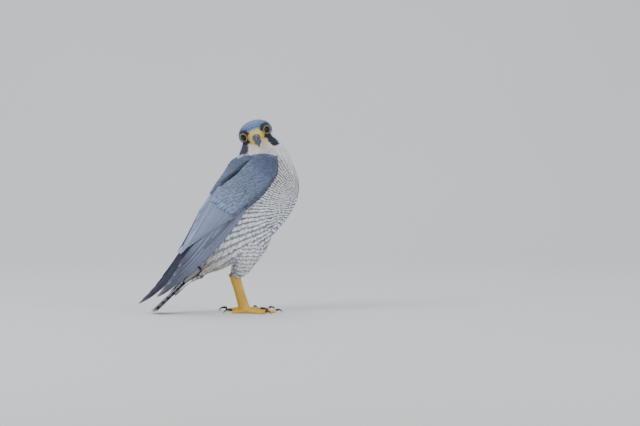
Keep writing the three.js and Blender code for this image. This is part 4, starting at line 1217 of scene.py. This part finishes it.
def build_coverts(side, rng):
    """Rows of coverts from the wing's bend back to the flight feathers, growing longer on the way."""
    vanes = Vanes()
    u, row = 108.0, 0
    while u > 19:
        s = max(105 - u, 0) / 86
        length = between(sized("covert_small"), sized("covert_large"), s ** 1.5)
        width = between(5.4, 11.0, s ** 1.2)
        top, low = (float(a[0]) for a in span_at(np.array([u])))
        radius = float(along(SHELL, u)[0][1:3].mean())
        count = max(int((low - top) * math.pi / 180 * radius / (width * 0.46)), 3)
        share = (np.arange(count) + (0.25 if row % 2 else 0.75)) / count
        share = np.clip(share + rng.normal(0, 0.12 / count, count), 0.01, 0.985)
        root_u = u + rng.normal(0, 0.5, count)
        tip_u = root_u - length * rng.uniform(0.94, 1.06, count)
        phi = between(top, low, share)
        tip_top, tip_low = span_at(tip_u)
        tip_phi = phi + 0.45 * (between(tip_top, tip_low, share) - phi)
        margin = math.degrees(width * 0.42 / radius)
        phi = np.clip(phi, top + margin, low - 0.4 * margin)
        tip_phi = np.clip(tip_phi, tip_top + margin, tip_low - 0.4 * margin)
        # the rows behind lie under those in front
        roots = np.column_stack([root_u, phi, np.full(count, -0.3)])
        tips = np.column_stack([tip_u, tip_phi, np.full(count, between(0.6, 1.3, s))])
        mark = marks(count, 7.5, 0.2, between(0.18, 0.45, s))
        uv = np.column_stack([(root_u + 10) / 130, phi / 130 + (0.02 if side > 0 else 0.0)])
        wing_feathers(vanes, side, roots, tips, np.full(count, width), 0.25, COVERT, 3, 0.22,
                      wing_tone(root_u, share, rng), mark, patches_at(uv, len(COVERT_CUTS), 3), rng, arm_top)
        u -= between(2.4, 5.6, s)
        row += 1
    # stiff dark feathers of the thumb and over the primaries' roots, along the wing's lower edge
    for first, count, start, stop, long, wide in ((40, 5, 78, 70, 34, 8), (24, 7, 74, 60, 40, 9)):
        k = np.linspace(0, 1, count)
        roots = np.column_stack([first - 8 * k, between(start, stop, k), between(0.6, 2.0, k)])
        ends = between(start - 3, stop - 3, k)
        tips = np.column_stack([first - 8 * k - long, ends, between(3.6, 5.0, k)])
        colour = mixed([look().slate_dark, look().flight], [1, np.full(count, 0.35)])
        mark = marks(count, 9.0, 0.3, 0.35)
        uv = np.column_stack([(roots[:, 0] + 10) / 130, roots[:, 1] / 130])
        wing_feathers(vanes, side, roots, tips, np.full(count, float(wide)), 0.5, ROUND_FEATHER, 3, 0.35,
                      colour, mark, patches_at(uv, len(LONG_CUTS), 3), rng)
    return vanes


# how much nearer the tail the mantle's front lies on the spine than beside the wing
MANTLE_CURVE = 17.0


def mantle_top(u, phi):
    """Height of the mantle and scapulars over the shell, both sides as one pillow."""
    shape = np.shape(u)
    flat = np.asarray(u, float).ravel()
    i = np.clip((flat - ARM_REAR) / (ARM_FRONT - ARM_REAR), 0, 1)
    top, _ = wing_span(np.clip(flat, ARM_REAR, ARM_FRONT))
    share = np.clip(np.abs(np.asarray(phi, float).ravel()) / (top - 1.6), 0, 0.998)
    rise = (1 - share ** 5) ** 0.5
    # it sinks under the neck's feathers
    sunk = 8.5 * smooth(56, 84, flat + MANTLE_CURVE * (1 - share) ** 2) ** 1.5
    made = rise * (4.1 + ARM_REAR_RISE * (1 - i) ** 4) - sunk + 0.1
    return (made - 2.5 * smooth(0.92, 1.0, share) * smooth(58, 44, flat)).reshape(shape)


def build_mantle(side, rng):
    """Mantle and scapulars: rows from the neck's base to the long feathers over the closed wings' edges."""
    vanes = Vanes()
    u, row = 82.0, 0
    while u > 22:
        s = (82 - u) / 60
        length = between(12, 30, s ** 1.2)
        width = between(8, 13, s)
        gap = between(1.6, 0.2, float(smooth(44, 60, u)))
        top = float(wing_span(np.array([u]))[0][0]) - gap
        radius = float(along(SHELL, u)[0][1:3].mean())
        count = max(int(top * math.pi / 180 * radius / (width * 0.46)), 1)
        share = (np.arange(count) + (0.1 if row % 2 else 0.6)) / count
        phi = share * top
        root_u = u - MANTLE_CURVE * (1 - share) ** 2 * float(smooth(30, 70, u)) + rng.normal(0, 0.6, count)
        tip_u = root_u - length * rng.uniform(0.93, 1.07, count)
        margin = math.degrees(width * 0.46 / radius)
        tip_top = wing_span(np.clip(tip_u, ARM_REAR, 107))[0] - 1.6
        phi = np.minimum(phi, np.maximum(top - margin, 0.5))
        tip_phi = np.minimum(phi, np.maximum(tip_top - margin, 0.5))
        roots = np.column_stack([root_u, phi, np.full(count, -0.3)])
        tips = np.column_stack([tip_u, tip_phi, np.full(count, between(1.0, 1.6, s))])
        dark = np.full(count, 0.25) + 0.3 * smooth(50, 76, root_u)
        colour = mixed([look().slate, look().slate_dark], [1, dark])
        colour = colour * (1 + rng.normal(0, 0.06, count))[:, None]
        mark = marks(count, 8.0, 0.2, 0.3)
        uv = np.column_stack([(root_u + 10) / 130, 0.5 + side * phi / 130])
        wing_feathers(vanes, side, roots, tips, np.full(count, width), 0.3, COVERT, 3, 0.3,
                      colour, mark, patches_at(uv, len(COVERT_CUTS), 3), rng, mantle_top)
        u -= between(3.4, 6.5, s)
        row += 1
    return vanes


def build_secondaries(side, rng, count=14):
    k = np.linspace(0, 1, count)
    tip_u = np.interp(k * (len(SECONDARY_TIPS) - 1), np.arange(len(SECONDARY_TIPS)), SECONDARY_TIPS)
    roots = np.column_stack([np.full(count, 12.0), between(73, 22, k), np.full(count, 3.9)])
    tips = np.column_stack([tip_u, quill(tip_u, 3) - between(3.5, 9, k), 4.2 - tip_u / 45])
    weights = [1, between(0.1, 0.8, k), smooth(0.12, 0, k) * 0.5]
    colour = mixed([look().slate, look().slate_light, look().slate_dark], weights)
    colour = colour * (1 + rng.normal(0, 0.04, count))[:, None]
    mark = marks(count, 13.0, 0.2, 0.75)
    vanes = Vanes()
    total = count + 4
    wing_feathers(vanes, side, roots, tips, between(12.5, 14.5, k), 1.9, ROUND_FEATHER, 5, 0.3,
                  colour, mark, strips(0, count, total, len(LONG_CUTS), 5), rng)
    # the innermost ones, over the back, are shorter again
    k = np.linspace(0, 1, 4)
    roots = np.column_stack([np.full(4, 16.0), between(19, 6, k), np.full(4, 4.6)])
    tips = np.column_stack([between(-88, -38, k), between(15.5, 5.5, k), between(6.2, 6.6, k)])
    colour = mixed([look().slate, look().slate_light], [1, between(0.75, 0.4, k)])
    wing_feathers(vanes, side, roots, tips, between(14.5, 13, k), 1.4, ROUND_FEATHER, 5, 0.3,
                  colour, mark[:4], strips(count, 4, total, len(LONG_CUTS), 5), rng)
    return vanes


def build_primaries(side, rng):
    count = len(PRIMARY_TIPS)
    k = np.arange(count)
    drop = LEFT_WING_DROP if side > 0 else 0.0
    tip_u = PRIMARY_TIPS[:, 0] - drop
    rise = 24 * smooth(0, 1, (60 + tip_u) / -120) if side > 0 else 0 * tip_u
    lift = 0.3 + k * QUILL_PITCH
    roots = np.column_stack([np.full(count, 10.0), 75 - 4.6 * k, lift + 0.6])
    tips = np.column_stack([tip_u, PRIMARY_TIPS[:, 1] - rise, lift])
    colour = mixed([look().flight, look().slate_dark], [1, between(0.0, 0.25, k / count)])
    colour = colour * (1 + rng.normal(0, 0.03, count))[:, None]
    mark = marks(count, 11.0, 0.25, 0.38)
    vanes = Vanes()
    wing_feathers(vanes, side, roots, tips, 14.2 - 0.4 * k, 0.5, POINTED_FEATHER, 5, 0.35,
                  colour, mark, strips(0, count, count, len(LONG_CUTS), 5), rng)
    return vanes


# Tail

def build_tail(rng):
    """Twelve tail feathers, barred, with white tips; the middle pair lies on top."""
    feathers = [(-9.5, 4.0, 2.4, TAIL_FREE), (-4.0, 9.5, 2.9, TAIL_FREE)]
    for k in range(5):
        for side in (1, -1):
            edges = sorted((side * 0.2, side * (11 + k * 2.9)))
            feathers.append((*edges, 1.5 - k * QUILL_PITCH, TAIL_FREE - 1 - k * 1.1))
    vanes = Vanes()
    v = np.linspace(-1, 1, 5)
    cuts = np.array([0, 0.14, 0.3, 0.46, 0.6, 0.72, 0.82, 0.9, 0.945, 0.97, 0.985, 1.0])
    breadth = np.interp(cuts, LONG_CUTS, ROUND_TIP)
    for number, (inner, outer, height, length) in enumerate(feathers):
        spread = between(0.72, 1, cuts)
        middle = (inner + outer) / 2 * spread
        half = (outer - inner) / 2 * spread * np.maximum(breadth, 0.3)
        y = middle[:, None] + half[:, None] * v
        x = between(10, length, cuts)[:, None] + 0 * y
        x = x - (v ** 2) * 2.0 * smooth(0.9, 1, cuts)[:, None]
        z = height - 0.9 * (y / 20) ** 2 + 0.3 * (1 - v ** 2) + 0.1
        grid = in_tail(np.stack([x, y, z], -1))
        grid[..., 2] = np.maximum(grid[..., 2], 0.02)
        vane = np.stack([cuts[:, None] + 0 * y, 0 * y + v, 0 * y + rng.random()], -1)
        white = smooth(0.955, 0.975, cuts)[:, None]
        ground = np.array(look().tail) * (1 + rng.normal(0, 0.04))
        dark = smooth(0.80, 0.9, cuts)[:, None] * 0.45
        tint = ground * (1 - dark)
        tint = tint * (1 - white) + np.array(look().white) * white
        mark = np.stack([x / 10.5, (0.95 * (1 - white) + 0 * y), 0.06 + 0 * y], -1)
        vanes.add(grid[None], vane[None], mark[None], tint[None, :, None], length,
                  strips(number, 1, len(feathers), len(cuts), 5))
    return vanes


def build_tail_coverts(rng):
    """Uppertail coverts: slate, barred, from the rump over the tail's root."""
    vanes = Vanes()
    rows, v = COVERT_CUTS, np.array([-1.0, 0.0, 1.0])
    for row, start in enumerate(np.linspace(26, -16, 10)):
        count = 7 + row % 2
        for k in range(count):
            y0 = (k - (count - 1) / 2) * 2.7 + rng.normal(0, 0.4)
            length = rng.uniform(24, 31)
            x = start + rng.normal(0, 1) + rows * length
            y = y0 * between(1, 1.05, rows)
            half = 4.6 * COVERT_BREADTH
            yy = y[:, None] + half[:, None] * v
            top = np.interp(x, [-20, 0, 30, 60], [10.5, 9.0, 4.6, 3.3])
            bow = 0.03 * yy ** 2 * np.interp(x, [0, 30], [1, 0.2])[:, None]
            z = top[:, None] - bow + (0.2 + 1.5 * rows)[:, None] - 0.25 * np.abs(v)
            xx = x[:, None] + 0 * yy
            grid = in_tail(np.stack([xx, yy, z], -1))
            vane = np.stack([rows[:, None] + 0 * yy, 0 * yy + v, 0 * yy + rng.random()], -1)
            mark = np.stack([xx / 7.5, 0 * yy + 0.6, 0 * yy + 0.35], -1)
            tint = np.array(look().slate) * (1 + rng.normal(0, 0.05))
            uv = np.array([[0.1 + (start + 20) / 80, 0.5 + y0 / 60]])
            vanes.add(grid[None], vane[None], mark[None], tint, length, patches_at(uv, len(rows), 3))
    return vanes


# Bare parts

def round_eye(side, off_axis, theta, radius):
    """Points round an eye's middle: an angle from its axis, one round the axis, and a distance."""
    across = np.sin(off_axis)
    local = np.stack([np.cos(off_axis), across * np.cos(theta), across * np.sin(theta)], -1)
    local = (local * radius[..., None]) @ turning("Z", side * EYE_OUTWARD).T
    return from_head(local.reshape(-1, 3) + EYE_CENTRE * np.array([1, side, 1]))


def eyeball(side):
    """An eye with a slightly bulging clear front; off_axis is the angle from where it looks."""
    rings, around = 40, 56
    alpha = np.linspace(0.02, math.pi - 0.02, rings)
    theta = np.linspace(0, 2 * math.pi, around, endpoint=False)
    a, th = np.meshgrid(alpha, theta, indexing="ij")
    radius = EYE_RADIUS - 0.25 + 0.35 * smooth(46, 8, np.degrees(a))
    points = round_eye(side, a, th, radius)
    ids = np.arange(rings * around).reshape(rings, around)
    p, q = ids[:-1], ids[1:]
    faces = np.stack([p, q, np.roll(q, -1, 1), np.roll(p, -1, 1)], -1).reshape(-1, 4)
    corners = np.concatenate([faces.ravel(), ids[0], ids[-1, ::-1]])
    totals = np.concatenate([np.full(len(faces), 4), [around, around]])
    uv = np.column_stack([np.tile(theta / (2 * math.pi), rings), np.repeat(alpha / math.pi, around)])
    return mesh_from("eye", points, corners, totals, {"off_axis": np.degrees(a).ravel()}, uv)


# Round a lid: share from its inner to its outer edge, and distance from the eye's middle
LID_SECTION = np.array([
    [0.0, 9.1], [0.08, 9.6], [0.3, 10.05], [0.62, 10.15], [1.0, 9.3], [0.9, 8.4], [0.3, 8.5]])
LID_INNER, LID_OUTER = 35, 61  # degrees from the eye's axis


def eyelids(side):
    """Lids and bare ring: a rounded rim round the eye, the upper lid lower than a circle."""
    around = 72
    theta = np.linspace(0, 2 * math.pi, around, endpoint=False)
    upper = np.maximum(np.sin(theta), 0)
    inner = LID_INNER - 4.0 * upper ** 1.3 - 1.5 * np.maximum(-np.sin(theta), 0)
    share, radius = LID_SECTION.T
    a = np.radians(inner[:, None] + (LID_OUTER - inner[:, None]) * share)
    r = radius + 0.12 * np.cos(theta * 9)[:, None] * (share > 0.2)
    points = round_eye(side, a, theta[:, None], r)
    ids = np.arange(around * len(share)).reshape(around, len(share))
    nxt = np.roll(ids, -1, 0)
    faces = np.stack([ids, nxt, np.roll(nxt, -1, 1), np.roll(ids, -1, 1)], -1).reshape(-1, 4)
    uv = np.column_stack([np.repeat(theta / (2 * math.pi), len(share)), np.tile(share * 0.5 + 0.02, around)])
    rim = np.tile(share, around)
    return mesh_from("lids", points, faces.ravel(), np.full(len(faces), 4), {"rim": rim}, uv)


def lid_material():
    # bare olive-yellow skin between a dark inner edge and the dark feathers round it
    def make():
        made = scaled_skin_material("orbital_ring", look().ring, look().crease, 0.7, roughness=0.5)
        tree = made.node_tree
        shader = tree.nodes["Principled BSDF"]
        under = shader.inputs["Base Color"].links[0].from_socket
        rim = layer(tree, "rim", "Fac")
        dark = maths(tree, "MAXIMUM", step(tree, 0.12, 0.04, rim), step(tree, 0.26, 0.36, rim))
        tree.links.new(mix(tree, dark, under, rgba(look().moustache)), shader.inputs["Base Color"])
        return made
    return material("orbital_ring", make)


# Bill: x, middle z, half-width, reach up and down, lean in degrees of each section
BILL = np.array([
    [0, 30.4, -2.2, 6.6, 6.2, 6.2, 0],
    [1, 35.5, -3, 5.6, 5.8, 5.8, 18],
    [2, 39.6, -5.6, 4.2, 4.9, 4.9, 42],
    [3, 42, -9.4, 2.8, 3.4, 3.4, 66],
    [4, 42.4, -13, 1.5, 1.9, 1.9, 84],
    [5, 41.7, -16, 0.5, 0.6, 0.6, 100],
], float)
BILL_LOWER = np.array([
    [0, 23.8, -10.3, 5.4, 1.4, 3, 0],
    [1, 30, -10.9, 4.6, 1.4, 2.6, 0],
    [2, 35.0, -11.4, 3.4, 1.2, 2, 0],
    [3, 37.6, -11.8, 1.9, 0.7, 1, 0],
], float)


def bill_mesh(name, sections, tooth):
    """A half of the bill, smooth through its sections, with the tooth on each edge of the upper one."""
    rings, around = 48, 48
    place = np.linspace(0, len(sections) - 1, rings)
    x, z, w, up, down, lean = along(sections, place).T
    a = np.linspace(0, 2 * math.pi, around, endpoint=False)
    rise = np.where(np.sin(a) > 0, up[:, None], down[:, None]) * np.sin(a)
    lean = np.radians(lean)[:, None]
    # the ridge is a little sharper than the sides
    wide = w[:, None] * np.cos(a) * (1 - 0.12 * np.maximum(np.sin(a), 0) ** 2)
    xx, zz = x[:, None] + rise * np.sin(lean), z[:, None] + rise * np.cos(lean)
    if tooth:
        bump = smooth(1.2, 2.0, place)[:, None] * smooth(2.8, 2.0, place)[:, None]
        edge = np.exp(-((np.degrees(a) - 232) / 16) ** 2) + np.exp(-((np.degrees(a) - 308) / 16) ** 2)
        zz = zz - 1.3 * bump * edge
    points = from_head(np.stack([xx, wide, zz], -1).reshape(-1, 3))
    ids = np.arange(rings * around).reshape(rings, around)
    p, q = ids[:-1], ids[1:]
    faces = np.stack([p, np.roll(p, -1, 1), np.roll(q, -1, 1), q], -1).reshape(-1, 4)
    corners = np.concatenate([faces.ravel(), ids[0, ::-1], ids[-1]])
    totals = np.concatenate([np.full(len(faces), 4), [around, around]])
    along_bill = place / (len(sections) - 1)
    uv = np.column_stack([np.repeat(along_bill, around), np.tile(a / (2 * math.pi), rings)])
    return mesh_from(name, points, corners, totals, {}, uv)


TOES = ("middle", "inner", "outer", "hind")
TOE_SCUTE, SHANK_SCUTE = 2.7, 3.1


def foot_mesh(name, nodes, side):
    """Tarsus and toes as one skin, with scutes across their upper faces."""
    mesh = refined(nodes, name, 0.55, 3, swell=0.22)
    points, normals = coordinates(mesh), coordinates(mesh, "normal")
    hub = HUB * np.array([1, 0, 1]) + np.array([0, side * STANCE, 0])
    flat = points - hub
    reach = np.hypot(flat[:, 0], flat[:, 1])
    on_toe = smooth(13, 8, points[:, 2]) * smooth(5, 8, reach)
    groove = smooth(0.55, 1.0, np.cos(2 * math.pi * reach / TOE_SCUTE))
    groove = groove * smooth(0.35, 0.8, normals[:, 2]) * on_toe
    shank = smooth(10, 16, points[:, 2])
    front = smooth(0.25, 0.75, normals[:, 0])
    level = smooth(0.6, 1.0, np.cos(2 * math.pi * points[:, 2] / SHANK_SCUTE))
    groove = np.maximum(groove, level * front * shank)
    points = points - normals * (0.12 + 0.34 * groove)[:, None]
    points[:, 2] = np.maximum(points[:, 2], 0.0)
    set_coordinates(mesh, points)
    unwrapped(mesh)
    return mesh


# Operators

class FALCON_OT_skin(bpy.types.Operator):
    """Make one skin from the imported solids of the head, neck, trunk and thighs"""

    bl_idname = "falcon.skin"
    bl_label = "Skin"

    def execute(self, context):
        piece("skin", build_skin(), contour_material(), FLESH)
        return {"FINISHED"}


class FALCON_OT_coat(bpy.types.Operator):
    """Grow the small feathers over the skin"""

    bl_idname = "falcon.coat"
    bl_label = "Body feathers"

    def execute(self, context):
        if "skin" not in bpy.data.objects:
            raise RuntimeError("the skin comes before its feathers")
        grow_coat(bpy.data.objects["skin"].data, [
            ("face_feathers", "hood_feather", face_part),
            ("crown_feathers", "hood_feather", crown_part),
            ("breast_feathers", "barred_feather", upper_part),
            ("flank_feathers_left", "barred_feather", lambda p: lower_part(p) & (p[:, 1] > 0)),
            ("flank_feathers_right", "barred_feather", lambda p: lower_part(p) & (p[:, 1] <= 0)),
            ("thigh_feathers", "barred_feather", thigh_part),
            ("undertail_feathers", "barred_feather", tail_part),
        ])
        return {"FINISHED"}


class FALCON_OT_wings(bpy.types.Operator):
    """Lay the folded wings: coverts, secondaries and primaries over their roots"""

    bl_idname = "falcon.wings"
    bl_label = "Wings"

    def execute(self, context):
        for name, side in SIDES:
            rng = np.random.default_rng(20 + side)
            # the slabs under the wing's feathers are a darkened slate: painted shade in the gaps between the
            # feathers
            dark = darker(look().slate_dark, 0.7)
            arm = shell_slab("wing_base_" + name, side, ARM_REAR, ARM_FRONT - 1.5, 40, 24,
                             lambda u: span_at(u)[0] + 0.4, lambda u: span_at(u)[1] - 0.4,
                             lambda i, j, u, phi: arm_top(u, phi) - 0.6,
                             lambda i, j, u, phi: 0 * u - 8.5, dark)
            slate("wing_base_" + name, arm, "wing_arm_" + name)
            coverts = build_coverts(side, rng).mesh("wing_coverts_" + name)
            slate("wing_coverts_" + name, coverts, "wing_arm_" + name)
            roots = shell_slab("secondary_roots_" + name, side, ARM_REAR + 2, -4, 8, 12,
                               lambda u: quill(u, 2) + 1, lambda u: quill(u, 3) - 1,
                               lambda i, j, u, phi: 0 * u + 5.2, lambda i, j, u, phi: 0 * u + 3.6, dark)
            slate("secondary_roots_" + name, roots, "secondaries_" + name)
            feathers = build_secondaries(side, rng).mesh("secondary_feathers_" + name)
            slate("secondary_feathers_" + name, feathers, "secondaries_" + name)
            # a darkened primary colour under the primaries: painted shade between them
            roots = shell_slab("primary_roots_" + name, side, ARM_REAR + 2, -74, 20, 12,
                               lambda u: quill(u, 0) + 1, lambda u: quill(u, 1) - 1,
                               lambda i, j, u, phi: between(2.6, 4.2, i),
                               lambda i, j, u, phi: 0 * u + 0.1, darker(look().flight, 0.45))
            node = "primaries_" + name
            piece("primary_roots_" + name, roots, flight_material(), [node])
            feathers = build_primaries(side, rng).mesh("primary_feathers_" + name)
            piece("primary_feathers_" + name, feathers, flight_material(), [node])
        return {"FINISHED"}


class FALCON_OT_mantle(bpy.types.Operator):
    """Cover the back between the wings with the mantle and the scapulars"""

    bl_idname = "falcon.mantle"
    bl_label = "Mantle"

    def execute(self, context):
        for name, side in SIDES:
            rng = np.random.default_rng(40 + side)
            # the slab under the mantle is a darkened slate: painted shade between its feathers
            base = shell_slab("mantle_base_" + name, side, ARM_REAR, 80, 36, 16,
                              lambda u: 0 * u, lambda u: span_at(u)[0] - between(2.0, 0.4, smooth(44, 60, u)),
                              lambda i, j, u, phi: mantle_top(u, phi) - 0.7,
                              lambda i, j, u, phi: np.minimum(mantle_top(u, phi) - 1.5, -7.0),
                              darker(look().slate_dark, 0.7))
            slate("mantle_base_" + name, base, "scapulars_" + name)
            feathers = build_mantle(side, rng).mesh("mantle_feathers_" + name)
            slate("mantle_feathers_" + name, feathers, "scapulars_" + name)
        return {"FINISHED"}


class FALCON_OT_tail(bpy.types.Operator):
    """Fan the tail's twelve feathers and lay the coverts over their roots"""

    bl_idname = "falcon.tail"
    bl_label = "Tail"

    def execute(self, context):
        rng = np.random.default_rng(60)
        i, j = np.meshgrid(np.linspace(0, 1, 10), np.linspace(-1, 1, 9), indexing="ij")
        x, y = between(0.3, 31, i), j * between(15.5, 16.5, i)
        rounded = np.sqrt(1 - 0.7 * j ** 2)
        top = in_tail(np.stack([x, y, between(9, 3.2, i) * rounded - 0.3], -1))
        low = in_tail(np.stack([x, y, between(-7.5, -2.4, i) * rounded], -1))
        # the slab under the tail's root is a much darkened belly colour: painted shade under the tail and its
        # coverts
        base = slab_mesh("tail_base", top, low, darker(look().belly, 0.28))
        feathers = build_tail(rng).mesh("tail_feathers")
        coverts = build_tail_coverts(rng).mesh("tail_coverts")
        for name, mesh in (("tail_base", base), ("tail_feathers", feathers), ("tail_coverts", coverts)):
            piece(name, mesh, tail_material(), ["tail"])
        return {"FINISHED"}


class FALCON_OT_eyes(bpy.types.Operator):
    """Set the eyes in the head, inside their lids"""

    bl_idname = "falcon.eyes"
    bl_label = "Eyes"

    def execute(self, context):
        for name, side in SIDES:
            # a wet dark eye
            eye = material("eye", lambda: eye_material("eye", look()))
            piece("eyeball_" + name, eyeball(side), eye, ["eye_" + name])
            piece("eyelids_" + name, eyelids(side), lid_material())
        return {"FINISHED"}


class FALCON_OT_bill(bpy.types.Operator):
    """Smooth the cere and the bill and give them their wax and horn"""

    bl_idname = "falcon.bill"
    bl_label = "Bill"

    def execute(self, context):
        # waxy yellow skin, finely wrinkled
        wax = material("cere_wax", lambda: scaled_skin_material(
            "cere_wax", look().cere, look().crease, 0.9, roughness=0.36, wrinkle=0.18))
        # blue-grey horn that is nearly black at the hook
        start = from_head([[CERE_FRONT, 0, -2.2]])[0]
        horn = material("bill_horn", lambda: horn_material(
            "bill_horn", look().bill_root, look().bill_tip, start, 12.0, HEAD_AXES[:, 0]))
        mesh = refined(["cere"], "cere_smooth", 0.3, 5, swell=0.1)
        unwrapped(mesh)
        piece("cere_smooth", mesh, wax, ["cere"])
        for node, sections, tooth in (("bill_upper", BILL, True), ("bill_lower", BILL_LOWER, False)):
            name = node + "_smooth"
            piece(name, bill_mesh(name, sections, tooth), horn, [node])
        return {"FINISHED"}


class FALCON_OT_feet(bpy.types.Operator):
    """Skin the feet with scales and polish the claws"""

    bl_idname = "falcon.feet"
    bl_label = "Feet"

    def execute(self, context):
        # yellow skin in small raised scales
        scales = material("foot_scales", lambda: scaled_skin_material(
            "foot_scales", look().feet, look().crease, 1.3))
        # black horn
        horn = material("claw_horn", lambda: horn_material(
            "claw_horn", look().claw, darker(look().claw, 0.5), np.array([0, 0, 8.0]), 8.0, (0, 0, -1)))
        for name, side in SIDES:
            nodes = ["tarsus_" + name] + [f"toe_{t}_{name}" for t in TOES]
            piece("foot_" + name, foot_mesh("foot_" + name, nodes, side), scales, nodes)
            claws = [f"claw_{t}_{name}" for t in TOES]
            mesh = refined(claws, "claws_" + name, 0.26, 3, swell=0.1)
            unwrapped(mesh)
            piece("claws_" + name, mesh, horn, claws)
        return {"FINISHED"}


CERE_FRONT = 31.0
CAMERA_AZIMUTH, CAMERA_ELEVATION = math.radians(-12), math.radians(3)


class FALCON_OT_stage(bpy.types.Operator):
    """Set the floor, the backdrop, the lights and the camera"""

    bl_idname = "falcon.stage"
    bl_label = "Stage"

    def execute(self, context):
        scene = context.scene
        back = Vector((math.sin(CAMERA_AZIMUTH) * math.cos(CAMERA_ELEVATION),
                       -math.cos(CAMERA_AZIMUTH) * math.cos(CAMERA_ELEVATION), math.sin(CAMERA_ELEVATION)))
        right = Vector((0, 0, 1)).cross(back).normalized()
        up = back.cross(right)
        level = Vector((back.x, back.y, 0)).normalized()
        # one sheet: floor, a wide curve, and the wall behind
        bend = np.linspace(0.08, math.pi / 2, 16)
        profile = [(7.0, 0.0), (-1.2, 0.0)]
        profile += [(-1.2 - 1.4 * math.sin(a), 1.4 - 1.4 * math.cos(a)) for a in bend] + [(-2.6, 5.0)]
        points = [tuple((level * far + right * wide + Vector((0, 0, high))) / MM)
                  for far, high in profile for wide in (-7.0, 7.0)]
        ids = np.arange(len(points)).reshape(-1, 2)
        faces = np.stack([ids[:-1, 0], ids[:-1, 1], ids[1:, 1], ids[1:, 0]], -1)
        sheet = mesh_from("backdrop", np.array(points), faces.ravel(), np.full(len(faces), 4), {}, None)
        # matt pale paint
        sheet.materials.append(stage_material("stage_paint", look().stage))
        backdrop = bpy.data.objects.new("backdrop", sheet)
        scene.collection.objects.link(backdrop)
        aim = Vector((TRUNK_CENTRE[0], 0, 0)) * MM
        aim += right * sized("aim_right") * MM + up * sized("aim_up") * MM
        camera = bpy.data.cameras.new("camera")
        camera.sensor_width = 36
        camera.lens = 200
        camera.clip_end = 50
        camera.dof.use_dof = False
        holder = bpy.data.objects.new("camera", camera)
        scene.collection.objects.link(holder)
        holder.location = aim + back * sized("distance") * MM
        holder.rotation_mode = "QUATERNION"
        holder.rotation_quaternion = (-back).to_track_quat("-Z", "Y")
        scene.camera = holder
        middle = Vector((0, 0, 0.16))
        for name, power, wide, place in (
            ("key", 40, 1.6, level * 1.3 - right * 1.7 + Vector((0, 0, 1.7))),
            ("fill", 22, 2.2, level * 1.6 + right * 2.0 + Vector((0, 0, 0.9))),
            ("top", 20, 1.8, level * -0.9 + Vector((0, 0, 2.1))),
        ):
            light = bpy.data.lights.new(name, "AREA")
            light.shape = "DISK"
            light.size = wide
            light.energy = power
            lamp = bpy.data.objects.new(name, light)
            scene.collection.objects.link(lamp)
            lamp.location = middle + place
            lamp.rotation_mode = "QUATERNION"
            lamp.rotation_quaternion = (-place).to_track_quat("-Z", "Y")
        world = bpy.data.worlds.new("studio")
        world.use_nodes = True
        sky = world.node_tree.nodes["Background"].inputs
        sky["Color"].default_value = (0.85, 0.9, 1.0, 1.0)
        sky["Strength"].default_value = 0.8
        scene.world = world
        return {"FINISHED"}


STEPS = ("skin", "coat", "wings", "mantle", "tail", "eyes", "bill", "feet", "stage")


class FALCON_PT_panel(bpy.types.Panel):
    """Lists the sizes, the colours and the steps that build the falcon"""

    bl_idname = "FALCON_PT_panel"
    bl_label = "Falcon"
    bl_space_type = "VIEW_3D"
    bl_region_type = "UI"
    bl_category = "Falcon"

    def draw(self, context):
        for group in (context.scene.falcon_sizes, context.scene.falcon_colours):
            box = self.layout.box()
            for key in group.__annotations__:
                box.prop(group, key)
        for name in STEPS:
            self.layout.operator("falcon." + name)


CLASSES = (
    FalconColours, FalconSizes, FALCON_OT_skin, FALCON_OT_coat, FALCON_OT_wings, FALCON_OT_mantle,
    FALCON_OT_tail, FALCON_OT_eyes, FALCON_OT_bill, FALCON_OT_feet, FALCON_OT_stage, FALCON_PT_panel,
)


def register():
    for one in CLASSES:
        bpy.utils.register_class(one)
    bpy.types.Scene.falcon_colours = bpy.props.PointerProperty(type=FalconColours)
    bpy.types.Scene.falcon_sizes = bpy.props.PointerProperty(type=FalconSizes)


def unregister():
    del bpy.types.Scene.falcon_sizes
    del bpy.types.Scene.falcon_colours
    for one in reversed(CLASSES):
        bpy.utils.unregister_class(one)


def main():
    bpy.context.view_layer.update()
    register()
    for name in STEPS:
        getattr(bpy.ops.falcon, name)()


if __name__ == "__main__":
    main()
